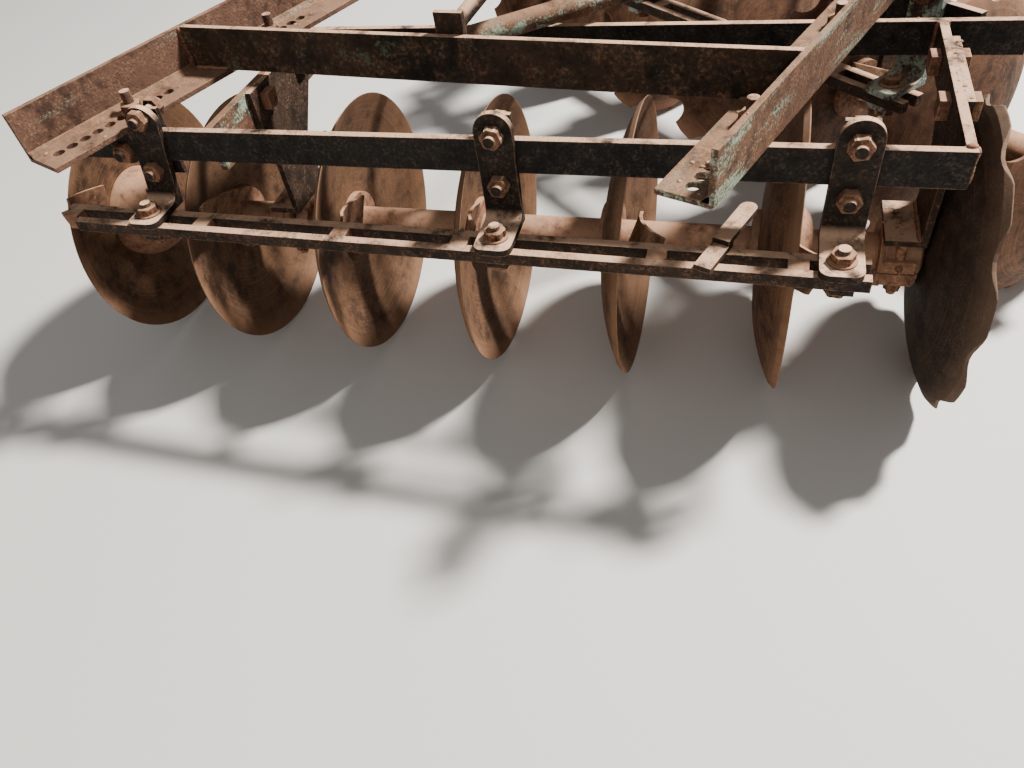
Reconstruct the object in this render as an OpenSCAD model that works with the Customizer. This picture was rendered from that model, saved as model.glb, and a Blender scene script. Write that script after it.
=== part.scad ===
// Offset disc harrow with two gangs of seven discs on a bolted angle-iron frame.
// Millimetres. X is to the right, Y is the way it travels and Z is up from the ground.

/* [Discs] */
// Radius of a plain disc
plain_r = 230; // [210:1:232]
// Radius of a scalloped disc over its lobes
lobe_r = 236; // [232:1:245]
// Thickness of a disc
disc_t = 5; // [4:0.5:7]
// Width of the bevel at the back of a disc's rim
rim_bevel = 8; // [4:0.5:12]
// Depth of the dish from hub to rim
dish_depth = 45; // [35:1:52]
// Radius of the flat centre of a disc
flat_r = 62; // [60:1:68]
// Scallops round a disc
scallop_count = 10; // [8:1:12]
// Radius of one scallop
scallop_r = 40; // [30:1:44]
// Depth of one scallop at the rim
scallop_depth = 24; // [14:1:28]
// Depth of the worn waves round the end disc
wave_depth = 12; // [8:1:15]

/* [Gang] */
// Discs on one gang
disc_count = 7; // [7]
// Distance from one disc to the next along the axle
disc_pitch = 242; // [236:1:250]
// Angle between a gang and the line across the harrow
gang_angle = 21; // [18:0.5:23]
// Side of the square axle
axle_side = 28; // [25:1:32]
// Radius of a spool tube
spool_r = 31; // [27:1:36]
// Radius of a spool flange
flange_r = 58; // [50:1:60]
// Thickness of a spool flange
flange_t = 12; // [8:1:16]
// Radius of the bell on a thrust spool
bell_r = 88; // [80:1:92]
// Length of that bell
bell_len = 76; // [66:1:84]

/* [Gang frame] */
// Height of the bars of a gang frame
bar_h = 50; // [44:1:60]
// Thickness of those bars
bar_t = 12; // [8:1:14]
// Width of a gang frame over its two long bars
gang_w = 365; // [350:1:390]
// Height of the top of a gang frame over the axle
bar_rise = 287; // [284:1:310]
// End of the rear gang's trailing bar beyond the middle disc
rear_trail_reach = 593; // [580:1:610]
// End of the front gang's trailing bar beyond the middle disc
front_trail_reach = 560; // [540:1:575]
// End of the leading bar beyond the middle disc on the cross plate side
lead_reach = 412; // [405:1:440]
// Outer face of the end bar from the middle disc
end_x = 705; // [700:1:706]
// Stretch of the leading bar beyond the end bar
lead_over = 110; // [60:1:130]
// Distance across the harrow from the outside of a main angle in to the cross plate
cross_in = 155; // [151:1:156]
// Height of the cross plate
cross_h = 72; // [60:1:80]

/* [Bearings] */
// Width of a bearing standard at its neck
standard_neck = 104; // [90:1:112]
// Thickness of a bearing standard
standard_t = 10; // [8:1:10]
// Length of a bearing block along the axle
block_len = 58; // [50:1:60]
// Width of a bearing block
block_w = 104; // [96:1:120]
// Height of a bearing block
block_h = 104; // [96:1:116]
// Running clearance round a spool in its bearing
bearing_gap = 0.1; // [0.05:0.05:0.5]

/* [Main frame] */
// Leg of the main angle irons
angle_leg = 76; // [70:1:80]
// Thickness of the main angle irons
angle_t = 8; // [6:0.5:10]
// Width of the main frame over the angle irons
frame_w = 949; // [940:1:960]
// Height of the cross beams
beam_h = 68; // [60:1:84]
// Thickness of the cross beams
beam_t = 10; // [8:1:14]
// Slant of the cross beams
beam_angle = 15.3; // [14:0.1:17]
// Diameter of the adjusting holes
hole_d = 18; // [17:0.5:20]
// Distance between adjusting holes
hole_pitch = 22.5; // [22:0.5:26]
// Side of the headstock tube
head_side = 76; // [70:1:80]

/* [Scrapers] */
// Width of a hanger
hanger_w = 54; // [48:1:60]
// Thickness of a hanger
hanger_t = 10; // [8:1:12]
// Rise of a hanger over the top of the bar
hanger_rise = 43; // [40:1:50]
// Drop from the top of the bar to the top of the scraper bars
scraper_drop = 126; // [120:1:132]
// Length of a hanger's foot
foot_len = 90; // [86:1:94]
// Height of the scraper bars
scraper_bar_h = 18; // [14:1:24]
// Thickness of the scraper bars
scraper_bar_t = 14; // [12:1:16]
// Space between the two scraper bars
scraper_gap = 20; // [17:1:24]
// Clearance between the middle of a blade and its disc
blade_gap = 9; // [8.5:0.5:12]
// Thickness of a blade
blade_t = 5; // [4:0.5:6]

/* [Linkage] */
// Distance between the shoulders of the lower link pins
link_span = 683; // [670:1:700]
// Diameter of a lower link pin
link_pin_d = 22; // [20:0.5:28]
// Length of a lower link pin
link_pin_len = 60; // [50:1:70]
// Height of the top link bore over the lower pins
mast_h = 460; // [440:1:480]
// Diameter of the top link bore
top_bore_d = 19.5; // [19:0.5:26]
// Space between the cheeks for the top link
top_gap = 52; // [46:1:56]
// Outside diameter of the stay pipe
stay_d = 34; // [26:1:42]

/* [Hidden] */
// Place of the whole machine, so that its box is centred on the origin
shift = [-55, -121.8, 0];
rear_at = [-32, -411, 0];
front_at = [142, 411, 0];
axle_z = lobe_r;
top_z = axle_z + bar_rise;
half_w = gang_w / 2;
cross_x = (frame_w / 2 - cross_in) / cos(gang_angle);
mid_disc = (disc_count - 1) / 2;
fit = 0.5;
bolt_d = 16;
rust = "#6b4a3a";
dark_rust = "#4a3329";
pale_rust = "#8a6a55";
green = "#6f8f78";

// Places a piece that is drawn in the rear gang's own frame, middle disc at X 0
module rear() {
    translate(shift + rear_at) rotate([0, 0, gang_angle]) children();
}

// The front gang is the rear one seen in a mirror
module front() {
    translate(shift + front_at) mirror([1, 0, 0]) rotate([0, 0, gang_angle]) children();
}

module along_x(x, y, z) {
    translate([x, y, z]) rotate([0, 90, 0]) children();
}

module hex_head(across, h) {
    cylinder(d = across / cos(30), h = h, $fn = 6);
}

module square_head(across, h) {
    translate([-across / 2, -across / 2, 0]) cube([across, across, h]);
}

// Discs
rim_land = 1.2;
dish_r = (pow(plain_r - flat_r, 2) + pow(dish_depth, 2)) / (2 * dish_depth);
function dish(r) = r <= flat_r ? 0 : dish_r - sqrt(pow(dish_r, 2) - pow(r - flat_r, 2));

function dish_points(r_out, steps) = [
    for (i = [0:steps]) let (r = flat_r + (r_out - flat_r) * i / steps) [r, dish(r)]
];

module dish_plate(r_out) {
    steps = 10;
    face = dish_points(r_out, steps);
    back_rim = r_out - rim_bevel;
    back = [for (i = [steps - 1:-1:0]) [face[i][0], face[i][1] - disc_t]];
    rim = [[r_out, dish(r_out) - rim_land], [back_rim, dish(back_rim) - disc_t]];
    rotate_extrude($fn = 120)
        polygon(concat([[0, 0]], face, rim, back, [[0, -disc_t]]));
}

module axle_hole(x0, x1) {
    side = axle_side + 2 * fit;
    translate([-side / 2, -side / 2, x0]) cube([side, side, x1 - x0]);
}

module plain_disc() {
    difference() {
        dish_plate(plain_r);
        axle_hole(-2 * disc_t, disc_t);
    }
}

module scalloped_disc(turn) {
    centre = lobe_r - scallop_depth + scallop_r;
    difference() {
        dish_plate(lobe_r);
        axle_hole(-2 * disc_t, disc_t);
        for (i = [0:scallop_count - 1])
            rotate([0, 0, turn + (i + 0.5) * 360 / scallop_count])
                translate([centre, 0, -disc_t])
                    cylinder(r = scallop_r, h = dish_depth * 2, $fn = 48);
    }
}

// The end disc is worn to soft waves
module worn_disc(turn) {
    steps = scallop_count * 12;
    wave = [for (i = [0:steps - 1]) let (
        a = 360 * i / steps, dip = pow(0.5 - 0.5 * cos(scallop_count * a), 1.6)
    ) (lobe_r + 2 - (wave_depth + 2) * dip) * [cos(a + turn), sin(a + turn)]];
    intersection() {
        difference() {
            dish_plate(lobe_r);
            axle_hole(-2 * disc_t, disc_t);
        }
        translate([0, 0, -2 * disc_t]) linear_extrude(2 * dish_depth) polygon(wave);
    }
}

disc_turn = 6;
function disc_x(i) = (i - mid_disc) * disc_pitch;

module on_axle(x) {
    along_x(x, 0, axle_z) children();
}

// Spools, from the concave face of one disc to the back of the next
spool_len = disc_pitch - disc_t;
spool_table = [
    // bell at the hollow face, flange at the next disc's back
    [true, true],
    [false, true],
    [false, true],
    [false, true],
    [false, true],
    [true, false],
];
bell_gaps = [for (i = [0:disc_count - 2]) if (spool_table[i][0]) i];

module spool(has_bell, has_flange) {
    start = has_bell ? bell_len : 0;
    difference() {
        union() {
            translate([0, 0, start]) cylinder(r = spool_r, h = spool_len - start, $fn = 64);
            if (!has_bell) cylinder(r = flange_r, h = flange_t, $fn = 64);
            if (has_flange)
                translate([0, 0, spool_len - flange_t]) cylinder(r = flange_r, h = flange_t, $fn = 64);
        }
        axle_hole(-1, spool_len + 1);
    }
}

module bell() {
    steps = 10;
    rim = dish(bell_r) + 0.3;
    dome = rim + 4;
    outline = [for (i = [0:steps]) let (a = 90 * i / steps)
        [spool_r + (bell_r - spool_r) * cos(a), dome + (bell_len - dome) * sin(a)]];
    difference() {
        rotate_extrude($fn = 96)
            polygon(concat([[0, 0], [flat_r, 0], [bell_r, rim]], outline, [[0, bell_len]]));
        axle_hole(-1, bell_len + 1);
    }
}

module spools() {
    color(rust)
        for (i = [0:disc_count - 2]) on_axle(disc_x(i)) spool(spool_table[i][0], spool_table[i][1]);
}

module bells() {
    color(pale_rust)
        for (i = bell_gaps) on_axle(disc_x(i)) bell();
}

// Axle, with a cupped washer and a nut at each end
axle_gap = 3;
washer_r = 48;
washer_t = 12;
nut_across = 46;
nut_h = 26;
tail = 14;

module axle() {
    x0 = disc_x(0) - disc_t;
    x1 = disc_x(disc_count - 1);
    side = axle_side;
    color(dark_rust) {
        translate([x0 - washer_t - tail, -side / 2, axle_z - side / 2])
            cube([x1 - x0 + 2 * washer_t + 2 * tail, side, side]);
        on_axle(x1) cylinder(r = washer_r, h = washer_t, $fn = 64);
        on_axle(x1 + washer_t) hex_head(nut_across, nut_h);
        on_axle(x0 - washer_t) cylinder(r = washer_r, h = washer_t, $fn = 64);
        on_axle(x0 - washer_t - nut_h) hex_head(nut_across, nut_h);
    }
}

module discs(first, last) {
    color(rust) for (i = [first:last]) on_axle(disc_x(i)) plain_disc();
}

module lobed_discs(first, last) {
    color(dark_rust) for (i = [first:last]) on_axle(disc_x(i)) scalloped_disc(disc_turn * i);
}

module end_disc() {
    color(dark_rust) on_axle(disc_x(disc_count - 1)) worn_disc(0);
}

// Gang frame
module long_bar(x0, x1, y0) {
    translate([x0, y0, top_z - bar_h]) cube([x1 - x0, bar_t, bar_h]);
}

module trailing_bar(reach) {
    color(dark_rust) long_bar(-reach, end_x, -half_w);
}

module leading_bar() {
    color(dark_rust) long_bar(-lead_reach, end_x + lead_over, half_w - bar_t);
}

module end_bar() {
    color(rust)
        difference() {
            translate([end_x - bar_t, bar_t - half_w, top_z - bar_h])
                cube([bar_t, gang_w - 2 * bar_t, bar_h]);
            for (y = standard_bolts) along_x(end_x - 2 * bar_t, y, standard_bolt_z)
                cylinder(d = bolt_d, h = 3 * bar_t, $fn = 32);
        }
}

module cross_plate() {
    color(green)
        difference() {
            translate([-cross_x, bar_t - half_w, top_z - cross_h])
                cube([bar_t, gang_w - 2 * bar_t, cross_h]);
            for (y = standard_bolts) along_x(-cross_x - bar_t, y, standard_bolt_z)
                cylinder(d = bolt_d, h = 3 * bar_t, $fn = 32);
        }
}

// Cleats that carry a gang frame below the adjusting holes of the main angles
cleat_w = 40;
cleat_d = 64;
cleat_t = 10;
cleat_nut = 28;
cleat_head = 30;
cleat_nut_t = 14;
hole_line = frame_w / 2 - angle_leg / 2;

// The X in a gang's frame where its line at this Y crosses under the holes
function crossing(side, y, at, flip) =
    (flip * (side * hole_line - at[0]) + y * sin(gang_angle)) / cos(gang_angle);

module cleat(x, y) {
    translate([x - cleat_w / 2, y - cleat_d / 2, top_z - cleat_t]) cube([cleat_w, cleat_d, cleat_t]);
    translate([x, y, top_z - cleat_t - cleat_nut_t]) hex_head(cleat_head, cleat_nut_t);
    translate([x, y, top_z - 1]) cylinder(d = bolt_d, h = 1 + angle_t + cleat_nut_t + bolt_stub, $fn = 32);
    translate([x, y, top_z + angle_t]) hex_head(cleat_nut, cleat_nut_t);
}

module cleats(at, flip) {
    y_in = half_w - bar_t - cleat_d / 2;
    color(dark_rust)
        for (side = [-1, 1], row = [-1, 1])
            cleat(crossing(side, row * y_in, at, flip), row * y_in);
}

// Bearing standards and blocks
standard_bolts = [-28, 96];
standard_bolt_z = top_z - bar_h / 2;
standard_y = [-64, 122];
standard_slope = 90;
block_top = axle_z + block_h / 2;
bolt_head = 26;
head_t = 14;

module standard(x_face) {
    neck_z = top_z - bar_h - standard_slope;
    outline = [
        [standard_y[0], top_z], [standard_y[1], top_z], [standard_y[1], top_z - bar_h],
        [standard_neck / 2, neck_z], [standard_neck / 2, block_top],
        [-standard_neck / 2, block_top], [-standard_neck / 2, neck_z],
        [standard_y[0], top_z - bar_h],
    ];
    color(rust) {
        difference() {
            translate([x_face, 0, 0]) rotate([90, 0, 90])
                linear_extrude(standard_t) polygon(outline);
            for (y = standard_bolts) along_x(x_face - 1, y, standard_bolt_z)
                cylinder(d = bolt_d, h = standard_t + 2, $fn = 32);
        }
        for (y = standard_bolts) {
            along_x(x_face - bar_t - head_t, y, standard_bolt_z)
                cylinder(d = bolt_d, h = bar_t + standard_t + 2 * head_t, $fn = 32);
            along_x(x_face + standard_t, y, standard_bolt_z) square_head(bolt_head, head_t);
            along_x(x_face - bar_t - head_t, y, standard_bolt_z) square_head(bolt_head, head_t);
        }
        translate([x_face + standard_t - block_len, -block_w / 2, block_top])
            cube([block_len, block_w, standard_t]);
    }
}

// A cast housing in two halves, with ears for its two long bolts and a round flange
ear_h = 44;
stud_drop = 22;
saddle_w = 56;
housing_flange_t = 10;

module bearing(x_face) {
    x0 = x_face + standard_t - block_len;
    stud_y = block_w / 2 - 12;
    color(dark_rust)
        difference() {
            union() {
                difference() {
                    union() {
                        along_x(x0, 0, axle_z) cylinder(r = block_h / 2 - 4, h = block_len, $fn = 72);
                        along_x(x0, 0, axle_z) cylinder(r = block_h / 2, h = housing_flange_t, $fn = 72);
                        translate([x0 + 6, -block_w / 2, axle_z - ear_h / 2])
                            cube([block_len - 12, block_w, ear_h]);
                        translate([x0, -saddle_w / 2, axle_z]) cube([block_len, saddle_w, block_h / 2]);
                    }
                    translate([x0 - 1, -block_w, axle_z - axle_gap / 2])
                        cube([block_len + 2, 2 * block_w, axle_gap]);
                }
                for (y = [-stud_y, stud_y])
                    translate([x0 + block_len / 2, y, axle_z - ear_h / 2 - stud_drop]) {
                        cylinder(d = 14, h = ear_h / 2 + block_h / 2 + stud_drop, $fn = 32);
                        translate([0, 0, stud_drop - nut_t]) hex_head(22, nut_t);
                    }
            }
            along_x(x0 - 1, 0, axle_z)
                cylinder(r = spool_r + bearing_gap, h = block_len + 2, $fn = 64);
        }
}

// Hangers and scraper bars
hanger_line = -half_w - hanger_t;
rear_angle_x = crossing(-1, hanger_line, rear_at, 1);
front_angle_x = [for (side = [1, -1]) crossing(side, hanger_line, front_at, -1)];
hanger_lean = 30;
rear_hanger_table = [
    // middle at the top, middle of the foot, upper bolt over the bar
    [rear_angle_x + 76, rear_angle_x + 76 - hanger_lean, 26],
    [122, 122, 12],
    [576, 576, 12],
];
front_hanger_table = [
    // the same columns
    [front_angle_x[0] - 86, front_angle_x[0] - 86, 12],
    [126, 126, 12],
    [front_angle_x[1] - 76, front_angle_x[1] - 76, 12],
];
scraper_end = 613;
rear_scraper_starts = [-600, -640];
front_scraper_starts = [-520, -520];
scraper_z = top_z - scraper_drop;
bars_out = 59;
bars_y = -half_w - bars_out;
bars_mid = 122;
bars_slope = 0.87;
foot_past = foot_len - bars_out;
hanger_low_bolt = -62;
clamp_t = 8;
clamp_over = 30;
clamp_w = 40;
foot_plate_w = 30;
foot_plate_in = 11;
side_plate_x = -486;
side_plate_w = 44;
side_plate_z = 493;
corner_r = 14;
fillet_r = 16;
bolt_stub = 20;
nut_af = 26;
nut_t = 13;

// The middle line of the two scraper bars
function bars_at(x) = bars_y - (x - bars_mid) * tan(bars_slope);

module on_bars(x) {
    translate([x, bars_at(x), 0]) rotate([0, 0, -bars_slope]) children();
}

// Middle of a leaning hanger at a height
function hanger_x(place, z) = let (top = top_z + hanger_rise - hanger_w / 2)
    place[0] + (place[1] - place[0]) * (top - z) / (top - scraper_z);

module hanger_plate(place) {
    r = hanger_w / 2;
    top = top_z + hanger_rise - r;
    y0 = -half_w - hanger_t;
    x = place[1];
    foot_y = bars_at(x) - foot_past;
    outline = [[x - r, scraper_z], [x + r, scraper_z], [place[0] + r, top], [place[0] - r, top]];
    translate([0, -half_w, 0]) rotate([90, 0, 0]) linear_extrude(hanger_t) polygon(outline);
    translate([place[0], -half_w, top]) rotate([90, 0, 0]) cylinder(r = r, h = hanger_t, $fn = 64);
    translate([x - r, foot_y + corner_r, scraper_z])
        cube([hanger_w, -half_w - foot_y - corner_r, hanger_t]);
    translate([x - r + corner_r, foot_y, scraper_z])
        cube([hanger_w - 2 * corner_r, corner_r, hanger_t]);
    for (s = [-1, 1])
        translate([x + s * (r - corner_r), foot_y + corner_r, scraper_z])
            cylinder(r = corner_r, h = hanger_t, $fn = 48);
    difference() {
        translate([x - r, y0 - fillet_r, scraper_z + hanger_t])
            cube([hanger_w, fillet_r + hanger_t / 2, fillet_r]);
        along_x(x - hanger_w, y0 - fillet_r, scraper_z + hanger_t + fillet_r)
            cylinder(r = fillet_r, h = 2 * hanger_w, $fn = 64);
    }
}

// Two bolts above and below the bar hold a hanger to it
module hanger_clamp(place) {
    back_y = -half_w + bar_t;
    len = bar_t + clamp_t + hanger_t + 2 * bolt_stub;
    translate([hanger_x(place, top_z) - clamp_w / 2, back_y, top_z - bar_h - clamp_over])
        cube([clamp_w, clamp_t, bar_h + 2 * clamp_over]);
    for (z = [place[2], hanger_low_bolt])
        translate([hanger_x(place, top_z + z), back_y + clamp_t + bolt_stub, top_z + z])
            rotate([90, 0, 0]) {
                cylinder(d = bolt_d, h = len, $fn = 32);
                translate([0, 0, bolt_stub - nut_t]) hex_head(nut_af, nut_t);
                translate([0, 0, len - bolt_stub]) hex_head(nut_af, nut_t);
            }
}

module foot_bolt(x) {
    half = scraper_gap / 2 + scraper_bar_t;
    low = scraper_z - scraper_bar_h - clamp_t;
    on_bars(x) translate([0, 0, low]) {
        translate([-foot_plate_in, -half, 0]) cube([foot_plate_w, 2 * half, clamp_t]);
        translate([0, 0, -nut_t]) {
            cylinder(d = bolt_d, h = nut_t + clamp_t + scraper_bar_h + hanger_t + bolt_stub, $fn = 32);
            hex_head(nut_af, nut_t);
            translate([0, 0, nut_t + clamp_t + scraper_bar_h + hanger_t]) hex_head(nut_af, nut_t);
        }
    }
}

// A round-bottomed plate bolted to the trailing bar beside the rear gang's first hanger
module side_plate() {
    y0 = -half_w - hanger_t;
    color(rust) {
        translate([side_plate_x - side_plate_w / 2, y0, side_plate_z])
            cube([side_plate_w, hanger_t, top_z - side_plate_z]);
        translate([side_plate_x, -half_w, side_plate_z]) rotate([90, 0, 0])
            cylinder(d = side_plate_w, h = hanger_t, $fn = 64);
        translate([side_plate_x, -half_w, side_plate_z]) rotate([90, 0, 0]) {
            cylinder(d = bolt_d, h = hanger_t + bolt_stub, $fn = 32);
            translate([0, 0, hanger_t]) hex_head(nut_af, nut_t);
        }
    }
}

module hangers(table) {
    color(rust)
        for (place = table) {
            hanger_plate(place);
            hanger_clamp(place);
            foot_bolt(place[1]);
        }
}

module scraper_bars(starts) {
    color(pale_rust)
        for (k = [0, 1])
            on_bars(starts[k])
                translate([0, k == 0 ? -scraper_gap / 2 - scraper_bar_t : scraper_gap / 2,
                    scraper_z - scraper_bar_h])
                    cube([scraper_end - starts[k], scraper_bar_t, scraper_bar_h]);
}

// A blade runs from the bars in along the hollow face of its disc
blade_w = 60;
blade_lean = 20;
blade_clear = 2.5;
blade_top = 7;
blade_run = [158, -69];
blade_steps = 5;
stem_w = 26;
arm_t = 8;
arm_in = 12;

scraper_table = [
    // disc, middle of the stem from that disc's hub, shift along the bars, how far it runs in, drop
    [0, 106, 0, 0.75, 0],
    [1, 116, 22, 1, 0],
    [2, 116, 30, 1, 0],
    [3, 66, 0, 1, 0],
    [4, 104, 26, 1, 0],
    [5, 42, 0, 0.7, 18],
];

function blade_start(line) = bars_at(disc_x(line[0]) + line[1]) + scraper_gap / 2 + scraper_bar_t + blade_clear;

function blade_row(line, t) = let (
    y = blade_start(line) + blade_run[0] * t,
    low = scraper_z + blade_top - blade_w + blade_run[1] * t - line[4],
    x = dish(norm([y, low - axle_z])) + blade_gap + line[2]
) [
    [x, y, low], [x + blade_t, y, low],
    [x + blade_t + blade_lean, y, low + blade_w], [x + blade_lean, y, low + blade_w],
];

module blade(line) {
    rows = [for (i = [0:blade_steps]) each blade_row(line, line[3] * i / blade_steps)];
    last = 4 * blade_steps;
    sides = [for (i = [0:blade_steps - 1], k = [0:3]) let (a = 4 * i + k, b = 4 * i + (k + 1) % 4)
        each [[a, b, a + 4], [b, b + 4, a + 4]]];
    ends = [[0, 2, 1], [0, 3, 2], [last, last + 1, last + 2], [last, last + 2, last + 3]];
    polyhedron(rows, concat(sides, ends));
}

// The stem stands between the bars, and its arm runs in below the inner bar to the blade
module scraper(line) {
    stem = line[1];
    low = scraper_z - scraper_bar_h - arm_t;
    near = blade_row(line, 0)[0];
    share = (low + arm_t / 2 - near[2]) / blade_w;
    x0 = near[0] + blade_lean * share;
    in_y = blade_start(line);
    arm_y = bars_at(disc_x(line[0]) + stem) - scraper_gap / 2 + 1;
    arm = [
        [stem - stem_w / 2, arm_y], [stem + stem_w / 2, arm_y],
        [max(stem + stem_w / 2, x0 + blade_t), in_y - 6], [x0 + blade_t, in_y + arm_in],
        [x0, in_y + arm_in], [min(stem - stem_w / 2, x0 - stem_w / 2), in_y - 6],
    ];
    on_bars(disc_x(line[0]) + stem)
        translate([-stem_w / 2, -scraper_gap / 2, scraper_z - scraper_bar_h - arm_t / 2])
            cube([stem_w, scraper_gap, scraper_bar_h + arm_t / 2]);
    translate([disc_x(line[0]), 0, 0]) {
        translate([0, 0, low]) linear_extrude(arm_t) polygon(arm);
        blade(line);
    }
}

module scrapers(list) {
    color(pale_rust) for (i = list) scraper(scraper_table[i]);
}

// A flat lever lies over the bars and steps up to its rounded end
lever_w = 24;
lever_t = 8;
lever_at = [[408, -275], [432, -213], [457, -150]];

module flat_strip(a, b, w) {
    v = b - a;
    translate(a) rotate(atan2(v[1], v[0])) translate([0, -w / 2]) square([norm(v), w]);
}

module lever() {
    color(rust) {
        translate([0, 0, scraper_z]) linear_extrude(lever_t) flat_strip(lever_at[0], lever_at[1], lever_w);
        translate([0, 0, scraper_z + lever_t]) {
            linear_extrude(lever_t) flat_strip(lever_at[1] - [5, 13], lever_at[2], lever_w);
            translate(lever_at[2]) cylinder(d = lever_w, h = lever_t, $fn = 48);
        }
    }
}

// Main frame
rear_end = [-879, -560];
front_end = 950;
hole_rows = [
    // side, gang place, mirror, first hole, last hole
    [-1, rear_at, 1, -6, 3],
    [1, rear_at, 1, -7, 2],
    [-1, front_at, -1, -4, 3],
    [1, front_at, -1, -4, 3],
];

function bolt_y(side, row, at, flip) = let (
    y = row * (half_w - bar_t - cleat_d / 2), x = crossing(side, y, at, flip)
) at[1] + x * sin(gang_angle) + y * cos(gang_angle);

module angle_iron(side, y0) {
    len = front_end - y0;
    color(green)
        translate(shift)
            difference() {
                scale([side, 1, 1]) {
                    translate([frame_w / 2 - angle_t, y0, top_z]) cube([angle_t, len, angle_leg]);
                    translate([frame_w / 2 - angle_leg, y0, top_z]) cube([angle_leg, len, angle_t]);
                }
                for (row = hole_rows, at_bar = [-1, 1], k = [row[3]:row[4]])
                    if (row[0] == side)
                        translate([side * hole_line,
                            bolt_y(side, at_bar, row[1], row[2]) + k * hole_pitch, top_z - 1])
                            cylinder(d = hole_d, h = angle_t + 2, $fn = 32);
            }
}

// Draws in a cross beam's own frame, its middle at the origin and its foot at Z 0
module on_beam(k) {
    translate(shift + [0, beam_y[k], top_z + angle_t]) rotate([0, 0, k == 0 ? beam_angle : -beam_angle])
        children();
}

module cross_beam(k) {
    inner = frame_w - 2 * angle_t;
    color(dark_rust)
        intersection() {
            on_beam(k) translate([-frame_w, -beam_t / 2, 0]) cube([2 * frame_w, beam_t, beam_h]);
            translate(shift + [-inner / 2, beam_y[k] - frame_w, top_z])
                cube([inner, 2 * frame_w, 2 * beam_h]);
        }
}

beam_y = [-436, 410];

// Headstock with the lower link pins and the mast for the top link
head_y = front_end;
head_wall = 6;
link_z = top_z + head_side / 2;
link_reach = 70;
link_y = head_y + head_side + link_reach;
link_plate_t = 14;
link_plate_r = 34;
link_seat_d = 28;
link_collar = 3;
link_set = 0.3;
cheek_t = 12;
mast_in = 44;
mast_y = head_y + mast_in;
mast_t = 14;
mast_foot = 250;
mast_w = 64;
mast_z = link_z + mast_h;
cheek_reach = 40;
top_link_y = mast_y + mast_t + cheek_reach;
cheek_r = 30;

module headstock_tube() {
    inner = head_side - 2 * head_wall;
    color(green)
        translate(shift + [-frame_w / 2, head_y, top_z])
            difference() {
                cube([frame_w, head_side, head_side]);
                translate([-1, head_wall, head_wall]) cube([frame_w + 2, inner, inner]);
            }
}

module link_plates() {
    reach = link_y - head_y - head_side;
    color(rust)
        translate(shift)
            for (side = [-1, 1])
                translate([side > 0 ? link_span / 2 - link_plate_t : -link_span / 2, 0,
                    side > 0 ? link_set : 0])
                    difference() {
                        union() {
                            translate([0, head_y + head_side, link_z - link_plate_r])
                                cube([link_plate_t, reach, 2 * link_plate_r]);
                            along_x(0, link_y, link_z)
                                cylinder(r = link_plate_r, h = link_plate_t, $fn = 64);
                        }
                        along_x(-1, link_y, link_z)
                            cylinder(d = link_seat_d, h = link_plate_t + 2, $fn = 48);
                    }
}

module link_pins() {
    color(pale_rust)
        translate(shift)
            for (side = [-1, 1])
                translate([side * (link_span / 2 - link_plate_t), link_y, link_z + (side > 0 ? link_set : 0)])
                    rotate([0, side * 90, 0])
                        difference() {
                            union() {
                                cylinder(d = link_pin_d, h = link_plate_t + link_pin_len, $fn = 48);
                                cylinder(d = link_seat_d, h = link_plate_t + link_collar, $fn = 48);
                            }
                            translate([0, 0, link_plate_t + link_pin_len - 12]) rotate([90, 0, 0])
                                translate([0, 0, -link_pin_d])
                                    cylinder(d = 11, h = 2 * link_pin_d, $fn = 32);
                        }
}

module mast(side) {
    foot_z = top_z + head_side;
    top_x = top_gap / 2 + cheek_t;
    outline = [
        [mast_foot + mast_w / 2, foot_z], [mast_foot - mast_w / 2, foot_z],
        [top_x, mast_z - 40], [top_x, mast_z + cheek_r], [top_x + 24, mast_z + cheek_r],
    ];
    color(green)
        translate(shift + [0, mast_y + mast_t, 0]) rotate([90, 0, 0])
            linear_extrude(mast_t) polygon([for (q = outline) [side * q[0], q[1]]]);
}

module mast_head() {
    color(green)
        translate(shift)
            for (side = [0, 1])
                translate([side > 0 ? top_gap / 2 : -top_gap / 2 - cheek_t, 0, 0])
                    difference() {
                        union() {
                            translate([0, stay_bolt_y, mast_z - cheek_r])
                                cube([cheek_t, top_link_y - stay_bolt_y, 2 * cheek_r]);
                            along_x(0, stay_bolt_y, mast_z) cylinder(r = cheek_r, h = cheek_t, $fn = 64);
                            along_x(0, top_link_y, mast_z) cylinder(r = cheek_r, h = cheek_t, $fn = 64);
                        }
                        along_x(-1, top_link_y, mast_z) cylinder(d = top_bore_d, h = cheek_t + 2, $fn = 48);
                    }
    color(rust) translate(shift) stay_bolt();
}

// Stay from the rear cross beam up to the mast, and a diagonal pipe across the frame
lug_w = 44;
lug_h = 60;
lug_t = 10;
stay_bush_r = 16;
stay_bolt_d = 16;
stay_bolt_y = mast_y - 18;
stay_bolt_z = mast_z - 10;

function beam_at(k, x) = beam_y[k] + x * tan(k == 0 ? beam_angle : -beam_angle);

module bar_between(a, b, d) {
    v = b - a;
    len = norm(v);
    translate(a) rotate([0, acos(v[2] / len), atan2(v[1], v[0])]) cylinder(d = d, h = len, $fn = 48);
}

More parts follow.
